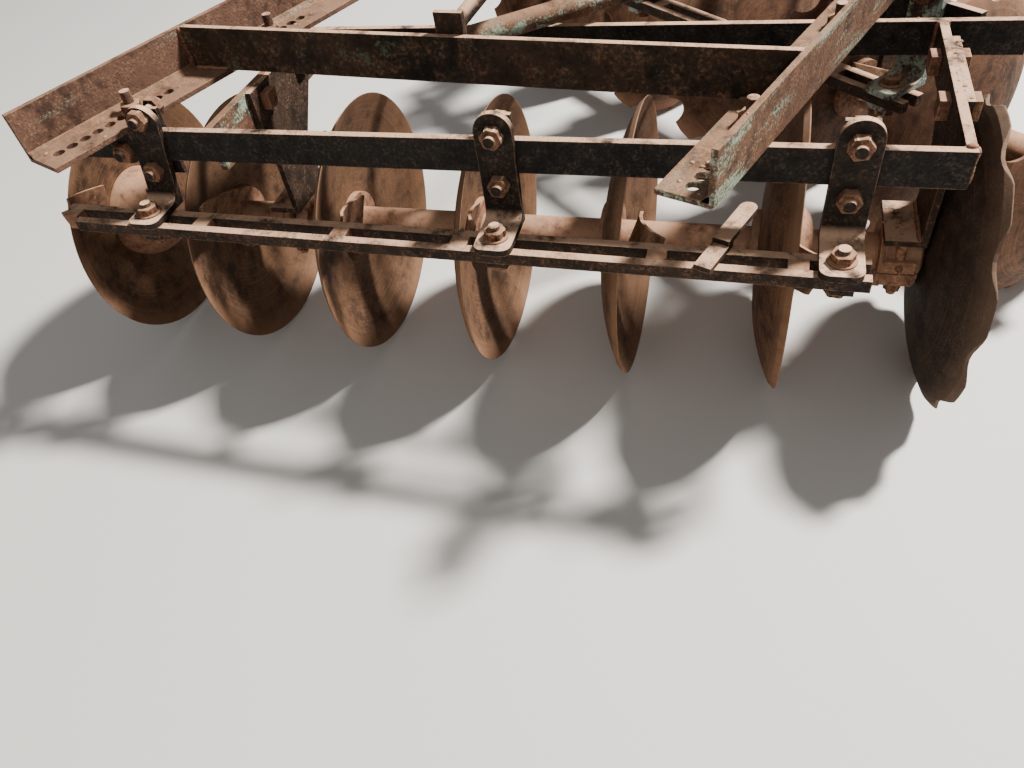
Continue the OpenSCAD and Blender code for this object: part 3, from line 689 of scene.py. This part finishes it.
def circle(radius: float, sides: int, height: float = 0.0) -> list[Vector]:
    """Returns the corners of a regular ring round Z."""
    turns = (2 * math.pi * k / sides for k in range(sides))
    return [Vector((radius * math.cos(turn), radius * math.sin(turn), height)) for turn in turns]


def show(name: str, data: bpy.types.ID) -> bpy.types.Object:
    """Returns a new object of the given data, linked into the scene."""
    thing = bpy.data.objects.new(name, data)
    bpy.context.scene.collection.objects.link(thing)
    return thing


class Forge:
    """Gathers the meshes of one piece and makes a Blender object of them."""

    def __init__(self, name: str, seed: int = 1) -> None:
        """Args:
        name: the piece's name.
        seed: seed of its random numbers.
        """
        self.name = name
        self.mesh = bmesh.new()
        self.chance = random.Random(seed)

    def lathe(self, outline: Sequence[Pair], sides: int, place: Matrix) -> None:
        """Turns an outline round Z and closes both ends.

        Args:
            outline: radius and height of each ring.
            sides: corners of a ring.
            place: matrix from the shape's frame to the row frame.
        """
        self._skin([
            [self.mesh.verts.new(place @ corner) for corner in circle(radius, sides, height)]
            for radius, height in outline
        ])

    def tube(self, path: Sequence[Vector], radii: Sequence[float], sides: int = 8) -> None:
        """Runs a tube of changing radius along a path and closes both ends.

        Args:
            path: points in the row frame.
            radii: radius at each point.
            sides: corners of a ring.
        """
        rings = []
        for k, point in enumerate(path):
            ahead = (path[min(k + 1, len(path) - 1)] - path[max(k - 1, 0)]).normalized()
            turn = ahead.to_track_quat("Z", "Y").to_matrix()
            rings.append([self.mesh.verts.new(point + turn @ corner) for corner in circle(radii[k], sides)])
        self._skin(rings)

    def extrude(self, outline: Sequence[Pair], length: float, place: Matrix) -> None:
        """Pushes a closed outline along Z.

        Args:
            outline: X and Y of its corners, counter-clockwise.
            length: how far it runs.
            place: matrix from the shape's frame to the row frame.
        """
        self._skin([
            [self.mesh.verts.new(place @ Vector((x, y, z))) for x, y in outline] for z in (0.0, length)
        ])

    def clod(self, centre: Vector, size: float, flat: float) -> None:
        """Adds a rough lump.

        Args:
            centre: its middle in the row frame.
            size: its radius.
            flat: its height as a share of its width.
        """
        made = bmesh.ops.create_icosphere(self.mesh, subdivisions=2, radius=1.0)
        turn = Matrix.Rotation(self.chance.uniform(0, 6.3), 3, "Z")
        phase = Vector((self.chance.uniform(0, 40), self.chance.uniform(0, 40), 0))
        stretch = self.chance.uniform(0.65, 1.0)
        for vert in made["verts"]:
            lump = 1.0 + 0.45 * noise.noise(vert.co * 1.7 + phase)
            spot = vert.co * lump * size
            vert.co = centre + turn @ Vector((spot.x, spot.y * stretch, spot.z * flat))

    def _skin(self, rings: Sequence[Sequence[bmesh.types.BMVert]]) -> None:
        """Joins rings of equal length with quads and closes the first and last ring."""
        count = len(rings[0])
        for near, far in zip(rings, rings[1:]):
            for k in range(count):
                self.mesh.faces.new((near[k], near[(k + 1) % count], far[(k + 1) % count], far[k]))
        self.mesh.faces.new(tuple(reversed(rings[0])))
        self.mesh.faces.new(tuple(rings[-1]))

    def finish(
        self, body: str, finish: str, wardrobe: Wardrobe, smooth_below: float = 35.0
    ) -> bpy.types.Object:
        """Makes the object, dresses it and lets it ride on its body.

        Args:
            body: the CAD body that it moves with.
            finish: a key of FINISHES.
            wardrobe: the built materials.
            smooth_below: faces that meet at less than this angle are shaded smooth, in degrees.

        Returns:
            The new object.
        """
        bmesh.ops.recalc_face_normals(self.mesh, faces=self.mesh.faces)
        for face in self.mesh.faces:
            face.smooth = True
        for edge in self.mesh.edges:
            edge.smooth = len(edge.link_faces) == 2 and edge.calc_face_angle() < math.radians(smooth_below)
        data = bpy.data.meshes.new(self.name)
        self.mesh.to_mesh(data)
        count = sum(len(face.verts) - 2 for face in self.mesh.faces)
        self.mesh.free()
        piece = show(self.name, data)
        wardrobe.dress(piece, finish)
        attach(piece, body)
        log.info("piece %s: %d triangles", self.name, count)
        return piece


def aim(spot: Point, way: Point) -> Matrix:
    """Returns a matrix that puts Z along a direction at a spot."""
    return Matrix.Translation(Vector(spot)) @ Vector(way).to_track_quat("Z", "Y").to_matrix().to_4x4()


@dataclass(frozen=True)
class Fastener:
    """A nut or bolt head with its washer and the threaded end that stands out of it.

    Args:
        head: the shape of its head.
        across: width over its flats.
        height: height of its head.
        washer: radius of the washer, or 0 for none.
        stub: how far the bolt's end stands over the head, or 0 for none.
        bolt_r: radius of the bolt.
    """

    head: Head
    across: float
    height: float
    washer: float = 0.0
    stub: float = 0.0
    bolt_r: float = 0.0083

    def add(self, forge: Forge, place: Matrix) -> None:
        """Adds its shapes.

        Args:
            forge: the piece that it becomes part of.
            place: matrix that puts its foot at the origin and its axis along Z.
        """
        corner = self.across / 2 / math.cos(math.pi / self.head.value)
        chamfer = 0.1 * self.across
        spin = Matrix.Rotation(forge.chance.uniform(-0.25, 0.25), 4, "Z")
        square = Matrix.Rotation(math.pi / 4 if self.head is Head.SQUARE else 0.0, 4, "Z")
        turned = place @ spin @ square if self.head is Head.HEX else place @ square
        top = self.height
        forge.lathe(
            [(corner * 0.96, 0.0), (corner, 0.0008), (corner, top - 0.35 * chamfer),
             (corner * 0.93, top - 0.12 * chamfer), (corner * 0.84, top), (corner * 0.5, top + 0.0003)],
            self.head.value, turned,
        )
        if self.washer:
            forge.lathe([(self.washer, 0.0), (self.washer, 0.002), (self.washer - 0.001, 0.0028)], 32, place)
        if self.stub:
            ridges = int(self.stub / 0.0016)
            outline = [(self.bolt_r - 0.0008 * (k % 2), top + 0.0008 * k) for k in range(2 * ridges - 1)]
            end = outline[-1][1]
            tip = [(self.bolt_r * 0.8, end + 0.0008), (self.bolt_r * 0.4, end + 0.0012)]
            forge.lathe([*outline, *tip], 20, place)


HANGER_NUT = Fastener(Head.HEX, 0.027, 0.0138, 0.0, 0.0068)
FOOT_NUT = Fastener(Head.HEX, 0.027, 0.0138, 0.0185, 0.0068)
HANGER_HEAD = Fastener(Head.HEX, 0.027, 0.0138)
STANDARD_HEAD = Fastener(Head.SQUARE, 0.027, 0.0148)
CLEAT_NUT = Fastener(Head.HEX, 0.029, 0.0148, 0.019, 0.0202)
CLEAT_HEAD = Fastener(Head.HEX, 0.031, 0.0148)
STUD_NUT = Fastener(Head.HEX, 0.023, 0.0138, 0.0, 0.0092, 0.0073)
AXLE_NUT = Fastener(Head.HEX, 0.0475, 0.0268)


@dataclass(frozen=True)
class WeldBead:
    """A rippled bead of weld.

    Args:
        radius: half its width.
        ripple: distance between its ripples.
    """

    radius: float = 0.0042
    ripple: float = 0.0052

    def add(self, forge: Forge, start: Vector, end: Vector) -> None:
        """Lays the bead along a straight seam.

        Args:
            forge: the piece that it becomes part of.
            start: the seam's start in the row frame.
            end: the seam's end.
        """
        length = (end - start).length
        count = max(4, int(length / 0.0017))
        phase = forge.chance.uniform(0, 50)
        path = []
        radii = []
        for k in range(count + 1):
            along = length * k / count
            wander = Vector((noise.noise(Vector((along * 90, phase, n))) for n in (0.0, 3.0, 6.0))) * 0.0009
            path.append(start.lerp(end, k / count) + wander)
            ripple = 1.0 + 0.13 * abs(math.sin(math.pi * along / self.ripple))
            lump = 1.0 + 0.22 * noise.noise(Vector((along * 60, phase, 9.0)))
            taper = min(1.0, 0.55 + 0.45 * min(along, length - along) / 0.004)
            radii.append(self.radius * ripple * lump * taper)
        forge.tube(path, radii, 8)


@dataclass(frozen=True)
class GangHardware:
    """Nuts, washers, studs, welds and grease nipples of one gang frame.

    Args:
        gang: which gang it belongs to.
        hangers: middle of each hanger at its top and at its foot, and height of its upper bolt
            over the bar.
        cleat_at: the gang's place before the whole machine's shift.
        side_plate: X and Z of the bolt of the plate beside the first hanger, or None.
    """

    gang: Gang
    hangers: tuple[tuple[float, float, float], ...]
    cleat_at: Pair
    side_plate: Pair | None = None

    def build(self, wardrobe: Wardrobe) -> None:
        """Makes this gang frame's small parts.

        Args:
            wardrobe: the built materials.
        """
        self._hanger_nuts(wardrobe)
        self._standard_bolts(wardrobe)
        self._cleat_bolts(wardrobe)
        self._welds(wardrobe)
        self._nipples(wardrobe)
        self._axle_nuts(wardrobe)

    def _put(self, spot: Point, way: Way) -> Matrix:
        """Returns the matrix of a bolt in this gang."""
        return PLACES[self.gang].matrix() @ aim(spot, way.value)

    def _hanger_nuts(self, wardrobe: Wardrobe) -> None:
        """Adds the bolts that hold the hangers to the bar and the scraper bars to the hangers."""
        forge = Forge(f"{self.gang.value}_hanger_nuts", 3)
        s = SIZES
        front = -s.half_w - s.plate_t
        back = -s.half_w + s.bar_t + s.clamp_t
        for top_x, foot_x, rise in self.hangers:
            for height in (rise, s.hanger_low_bolt):
                z = TOP_Z + height
                lean = (s.hanger_top - z) / (s.hanger_top - s.scraper_z)
                x = top_x + (foot_x - top_x) * lean
                HANGER_NUT.add(forge, self._put((x, front, z), Way.BACK))
                HANGER_NUT.add(forge, self._put((x, back, z), Way.AHEAD))
            y = s.bars_y - (foot_x - s.bars_mid) * math.tan(math.radians(s.bars_slope))
            FOOT_NUT.add(forge, self._put((foot_x, y, s.scraper_z + s.plate_t), Way.UP))
            low = s.scraper_z - s.scraper_bar_h - s.clamp_t
            HANGER_HEAD.add(forge, self._put((foot_x, y, low), Way.DOWN))
        if self.side_plate:
            HANGER_NUT.add(forge, self._put((self.side_plate[0], front, self.side_plate[1]), Way.BACK))
        forge.finish("frame", "fastener", wardrobe)

    def _standard_bolts(self, wardrobe: Wardrobe) -> None:
        """Adds the square heads at the bearing standards and the nuts below the housings."""
        forge = Forge(f"{self.gang.value}_bearing_bolts", 4)
        s = SIZES
        for face in BEARING_FACES:
            for y in s.standard_bolts_y:
                STANDARD_HEAD.add(forge, self._put((face + s.plate_t, y, TOP_Z - s.bar_h / 2), Way.RIGHT))
                STANDARD_HEAD.add(forge, self._put((face - s.bar_t, y, TOP_Z - s.bar_h / 2), Way.LEFT))
            for y in (-s.stud_y, s.stud_y):
                STUD_NUT.add(forge, self._put((face - s.housing_in, y, AXLE_Z - s.stud_drop), Way.DOWN))
        forge.finish("frame", "fastener", wardrobe)

    def _cleat_bolts(self, wardrobe: Wardrobe) -> None:
        """Adds the bolts that hold the gang frame under the main angles."""
        forge = Forge(f"{self.gang.value}_cleat_bolts", 5)
        s = SIZES
        angle = math.radians(PLACES[self.gang].angle)
        flip = -1.0 if PLACES[self.gang].mirrored else 1.0
        hole_line = s.frame_w / 2 - s.angle_leg / 2
        for side in (-1, 1):
            for y in (-s.cleat_y, s.cleat_y):
                x = (flip * (side * hole_line - self.cleat_at[0]) + y * math.sin(angle)) / math.cos(angle)
                CLEAT_NUT.add(forge, self._put((x, y, TOP_Z + s.angle_t), Way.UP))
                CLEAT_HEAD.add(forge, self._put((x, y, TOP_Z - s.cleat_t), Way.DOWN))
        forge.finish("frame", "fastener", wardrobe)

    def _welds(self, wardrobe: Wardrobe) -> None:
        """Lays the beads at the corners of the gang frame and on its standards."""
        forge = Forge(f"{self.gang.value}_frame_welds", 6)
        s = SIZES
        place = PLACES[self.gang].matrix()
        inner = s.half_w - s.bar_t
        low = TOP_Z - s.bar_h
        plate_low = TOP_Z - s.cross_h
        near = s.end_x - s.bar_t
        seams = [((x, y, low), (x, y, TOP_Z)) for y in (-inner, inner) for x in (near, s.end_x)]
        seams.insert(1, ((near, -inner, TOP_Z), (s.end_x, -inner, TOP_Z)))
        for x in (-s.cross_x, s.bar_t - s.cross_x):
            for y in (-inner, inner):
                seams.append(((x, y, plate_low if y > 0 else low), (x, y, TOP_Z)))
        for face in BEARING_FACES:
            seams.append(tuple((face, y, s.standard_foot_z) for y in (-s.standard_foot, s.standard_foot)))
        for start, end in seams:
            WeldBead().add(forge, place @ Vector(start), place @ Vector(end))
        forge.finish("frame", "weld", wardrobe, 60.0)

    def _nipples(self, wardrobe: Wardrobe) -> None:
        """Screws a grease nipple into each bearing housing."""
        forge = Forge(f"{self.gang.value}_grease_nipples", 7)
        s = SIZES
        for face in BEARING_FACES:
            place = self._put((face - s.housing_in, s.nipple_y, AXLE_Z + s.nipple_up), Way.BACK)
            forge.lathe([(0.0058, 0.0), (0.0058, 0.005), (0.0052, 0.0056)], 6, place)
            forge.lathe([(0.0036, 0.0054), (0.0030, 0.0090), (0.0024, 0.0100), (0.0033, 0.0118),
                         (0.0031, 0.0136), (0.0016, 0.0148)], 16, place)
        forge.finish("frame", "fastener", wardrobe)

    def _axle_nuts(self, wardrobe: Wardrobe) -> None:
        """Adds the big nuts at the ends of the axle."""
        forge = Forge(f"{self.gang.value}_axle_nuts", 8)
        s = SIZES
        AXLE_NUT.add(forge, self._put((3 * s.pitch + s.axle_nut_out, 0, AXLE_Z), Way.RIGHT))
        left = -3 * s.pitch - s.disc_t - s.axle_nut_out
        AXLE_NUT.add(forge, self._put((left, 0, AXLE_Z), Way.LEFT))
        forge.finish(f"{self.gang.value}_gang", "worn", wardrobe)


@dataclass(frozen=True)
class MainFrameDetails:
    """Welds, rolled roots and link pins' clips of the main frame.

    Args:
        root_r: radius in the inner corner of the rolled angle irons.
        stay_bolt: half the span between the heads of the mast stay's bolt, and its place ahead of
            the headstock's rear face and over the top link hole.
        clip_at: place of a link pin's clip beyond the link plate and ahead of the headstock.
        clip_r: half width and half height of a clip's ring.
    """

    root_r: float = 0.009
    stay_bolt: Point = (0.038, 0.026, -0.010)
    clip_at: Pair = (0.048, 0.070)
    clip_r: Pair = (0.023, 0.026)

    def build(self, wardrobe: Wardrobe) -> None:
        """Makes the main frame's small parts.

        Args:
            wardrobe: the built materials.
        """
        self._roots(wardrobe)
        self._welds(wardrobe)
        self._stay_nuts(wardrobe)
        self._clips(wardrobe)

    def _roots(self, wardrobe: Wardrobe) -> None:
        """Fills the inner corner of each angle iron with its rolled radius."""
        forge = Forge("angle_roots", 9)
        s = SIZES
        r = self.root_r
        for side, rear in zip((-1, 1), s.rear_ends):
            corner = (side * (s.frame_w / 2 - s.angle_t), TOP_Z + s.angle_t)
            bends = [math.pi / 2 * k / 8 for k in range(8, -1, -1)]
            arc = [(r - r * math.sin(a), r - r * math.cos(a)) for a in bends]
            outline = [(-0.0015, -0.0015), (r, -0.0015), *arc, (-0.0015, r)]
            turn = Matrix(((-side, 0, 0, corner[0]), (0, 0, 1, rear), (0, 1, 0, corner[1]), (0, 0, 0, 1)))
            forge.extrude(outline, s.head_y - rear, SHIFT @ turn)
        forge.finish("frame", "paint", wardrobe)

    def _beam_spot(self, k: int, x: float, side: int, z: float) -> Vector:
        """Returns a point on a face of a cross beam."""
        s = SIZES
        slope = math.radians(s.beam_slope[k])
        y = s.beam_y[k] + x * math.tan(slope) + side * s.beam_t / 2 / math.cos(slope)
        return SHIFT @ Vector((x, y, z))

    def _welds(self, wardrobe: Wardrobe) -> None:
        """Lays the beads where the cross beams, headstock, mast and link plates meet."""
        forge = Forge("main_frame_welds", 10)
        s = SIZES
        foot = TOP_Z + s.angle_t
        wall = s.frame_w / 2 - s.angle_t
        lip = s.frame_w / 2 - s.angle_leg
        front = s.head_y + s.head_side
        top = TOP_Z + s.head_side
        bead = WeldBead()
        for k in (0, 1):
            for side in (-1, 1):
                for face in (-1, 1):
                    bead.add(forge, self._beam_spot(k, side * wall, face, foot),
                             self._beam_spot(k, side * wall, face, foot + s.beam_h))
                    bead.add(forge, self._beam_spot(k, side * lip, face, foot),
                             self._beam_spot(k, side * (wall - s.seam_in), face, foot))
        seams = []
        for side in (-1, 1):
            for ahead in s.mast_seams_y:
                seams.append(tuple((side * x, s.head_y + ahead, top) for x in s.mast_seams_x))
            outer = side * s.link_span / 2
            for x in (outer, outer - side * s.link_t):
                seams.append(((x, front, TOP_Z + s.seam_in), (x, front, top - s.seam_in)))
            web = side * (wall + s.seam_in)
            seams.append(((web, s.head_y, foot), (web, s.head_y, top)))
            seams.append(((side * lip, s.head_y, foot), (side * wall, s.head_y, foot)))
        for start, end in seams:
            bead.add(forge, SHIFT @ Vector(start), SHIFT @ Vector(end))
        forge.finish("frame", "weld", wardrobe, 60.0)

    def _stay_nuts(self, wardrobe: Wardrobe) -> None:
        """Adds the nuts of the bolt that holds the mast stay."""
        forge = Forge("stay_nuts", 11)
        out, ahead, up = self.stay_bolt
        for x, way in ((out, Way.RIGHT), (-out, Way.LEFT)):
            spot = (x, SIZES.head_y + ahead, SIZES.mast_z + up)
            HANGER_HEAD.add(forge, SHIFT @ aim(spot, way.value))
        forge.finish("frame", "fastener", wardrobe)

    def _clips(self, wardrobe: Wardrobe) -> None:
        """Puts a ring clip through the end of each lower link pin."""
        forge = Forge("link_pin_clips", 12)
        s = SIZES
        out, ahead = self.clip_at
        wide, high = self.clip_r
        y = s.head_y + s.head_side + ahead
        z = TOP_Z + s.head_side / 2
        for side in (-1, 1):
            x = side * (s.link_span / 2 + out)
            shaft = [SHIFT @ Vector((x, y + d, z)) for d in (-0.024, -0.020, 0.010, 0.022, 0.026)]
            forge.tube(shaft, [0.0025, 0.0046, 0.0046, 0.0046, 0.0030], 16)
            ring = []
            for k in range(33):
                a = math.pi * (k / 32 * 1.5 - 0.75)
                ring.append(SHIFT @ Vector((x + side * 0.003, y - 0.001 - wide * math.cos(a),
                                            z - high + high * math.sin(a - 0.6))))
            forge.tube(ring, [0.0019] * len(ring), 10)
        forge.finish("frame", "worn", wardrobe)


@dataclass(frozen=True)
class Grit:
    """Dry soil and rust flakes that lie on faces that look up.

    Args:
        name: the piece's name.
        body: the body that it rides on.
        nodes: the CAD nodes that carry it.
        count: number of lumps.
        sizes: smallest and largest radius.
        finish: a key of FINISHES.
        seed: seed of its random places.
    """

    name: str
    body: str
    nodes: tuple[str, ...]
    count: int
    sizes: Pair
    finish: str
    seed: int

    def build(self, nodes: dict[str, bpy.types.Object], wardrobe: Wardrobe) -> None:
        """Strews the lumps over the nodes' upper faces, more on the wider ones.

        Args:
            nodes: the frame's nodes by name.
            wardrobe: the built materials.
        """
        forge = Forge(self.name, self.seed)
        triangles = []
        for name in self.nodes:
            mesh = nodes[name].data
            mesh.calc_loop_triangles()
            triangles += [
                ([mesh.vertices[k].co.copy() for k in tri.vertices], tri.area)
                for tri in mesh.loop_triangles if tri.normal.z > 0.93
            ]
        picks = forge.chance.choices(triangles, weights=[area for _, area in triangles], k=self.count)
        for (a, b, c), _ in picks:
            u, v = forge.chance.random(), forge.chance.random()
            if u + v > 1:
                u, v = 1 - u, 1 - v
            size = self.sizes[0] + (self.sizes[1] - self.sizes[0]) * forge.chance.random() ** 3
            forge.clod(a + u * (b - a) + v * (c - a), size, 0.45)
        forge.finish(self.body, self.finish, wardrobe, 60.0)


HARDWARE = (
    GangHardware(Gang.REAR, ((-0.4312, -0.4612, 0.026), (0.122, 0.122, 0.012), (0.576, 0.576, 0.012)),
                 (-0.032, -0.411), side_plate=(-0.486, 0.493)),
    GangHardware(Gang.FRONT, ((-0.4754, -0.4754, 0.012), (0.126, 0.126, 0.012), (0.4698, 0.4698, 0.012)),
                 (0.142, 0.411)),
)
GRIT = (
    Grit("frame_grit", "frame", ("main_angle_left", "main_angle_right", "rear_hangers", "headstock_tube",
                                 "front_hangers", "rear_cleats"), 420, (0.0008, 0.0042), "soil", 21),
    Grit("bar_grit", "frame", ("rear_trailing_bar", "rear_leading_bar", "rear_end_bar", "front_trailing_bar",
                               "front_leading_bar", "rear_scraper_bars", "rear_scrapers"), 260,
         (0.0006, 0.0026), "soil", 22),
    Grit("bearing_grit", "frame", ("rear_end_standard", "rear_cross_standard", "front_end_standard",
                                   "front_cross_standard"), 90, (0.001, 0.005), "soil", 23),
)


@dataclass(frozen=True)
class Studio:
    """Floor, light and camera.

    Args:
        eye: the camera's place.
        heading: angle of the view to the left of the way the harrow travels, in degrees.
        pitch: angle of the view below the horizon, in degrees.
        roll: how far the camera's right side dips, in degrees.
        lens: focal length on a 36 mm wide sensor, in millimetres.
        floor_side: side of the square floor.
    """

    eye: Point = (0.727, -1.3878, 1.058)
    heading: float = 43.2
    pitch: float = 46.2
    roll: float = 10.1
    lens: float = 27.6
    floor_side: float = 60.0

    def build(self) -> None:
        """Builds the floor, the lights and the camera."""
        self._floor()
        self._lights()
        self._camera()

    def _floor(self) -> None:
        """Lays a plain pale floor at ground level."""
        half = self.floor_side / 2
        mesh = bpy.data.meshes.new("floor")
        corners = [(-half, -half, 0), (half, -half, 0), (half, half, 0), (-half, half, 0)]
        mesh.from_pydata(corners, [], [(0, 1, 2, 3)])
        floor = show("floor", mesh)
        material = bpy.data.materials.new("Pale floor")
        material.use_nodes = True
        shader = material.node_tree.nodes["Principled BSDF"]
        shader.inputs["Base Color"].default_value = (0.62, 0.60, 0.57, 1)
        shader.inputs["Roughness"].default_value = 0.9
        mesh.materials.append(material)

    def _lights(self) -> None:
        """Hangs a key light ahead of the harrow and a weak fill behind it, and sets an even sky."""
        world = bpy.data.worlds.new("Studio sky")
        world.use_nodes = True
        sky = world.node_tree.nodes["Background"]
        sky.inputs["Color"].default_value = (0.97, 0.98, 1.0, 1)
        sky.inputs["Strength"].default_value = 0.27
        bpy.context.scene.world = world
        for name, spot, energy, size in (
            ("key", Vector((2.4, 2.6, 5.4)), 1500.0, 0.7),
            ("fill", Vector((1.5, -4.0, 3.0)), 40.0, 3.5),
        ):
            lamp = bpy.data.lights.new(name, "AREA")
            lamp.energy = energy
            lamp.size = size
            lamp.color = (1.0, 0.965, 0.91)
            light = show(name, lamp)
            light.location = spot
            light.rotation_euler = (Vector((0, -0.3, 0.2)) - spot).to_track_quat("-Z", "Y").to_euler()

    def _camera(self) -> None:
        """Sets the camera at the photograph's viewing angle."""
        turn, dip, tilt = (math.radians(v) for v in (self.heading, self.pitch, self.roll))
        forward = Vector((-math.sin(turn) * math.cos(dip), math.cos(turn) * math.cos(dip), -math.sin(dip)))
        level = Vector((math.cos(turn), math.sin(turn), 0))
        upright = level.cross(forward)
        right = math.cos(tilt) * level - math.sin(tilt) * upright
        up = right.cross(forward)
        data = bpy.data.cameras.new("camera")
        data.lens = self.lens
        data.sensor_width = 36.0
        data.sensor_fit = "HORIZONTAL"
        data.clip_start = 0.02
        camera = show("camera", data)
        camera.matrix_world = Matrix((
            (right.x, up.x, -forward.x, self.eye[0]),
            (right.y, up.y, -forward.y, self.eye[1]),
            (right.z, up.z, -forward.z, self.eye[2]),
            (0, 0, 0, 1),
        ))
        bpy.context.scene.camera = camera


def main() -> None:
    """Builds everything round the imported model, in order."""
    logging.basicConfig(level=logging.INFO, format="%(name)s: %(message)s")
    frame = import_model()
    groups = EffectGroups()
    wardrobe = Wardrobe(groups)
    wardrobe.dress_nodes(frame["nodes"])
    for hardware in HARDWARE:
        hardware.build(wardrobe)
    MainFrameDetails().build(wardrobe)
    for grit in GRIT:
        grit.build(frame["nodes"], wardrobe)
    Studio().build()


if __name__ == "__main__":
    main()
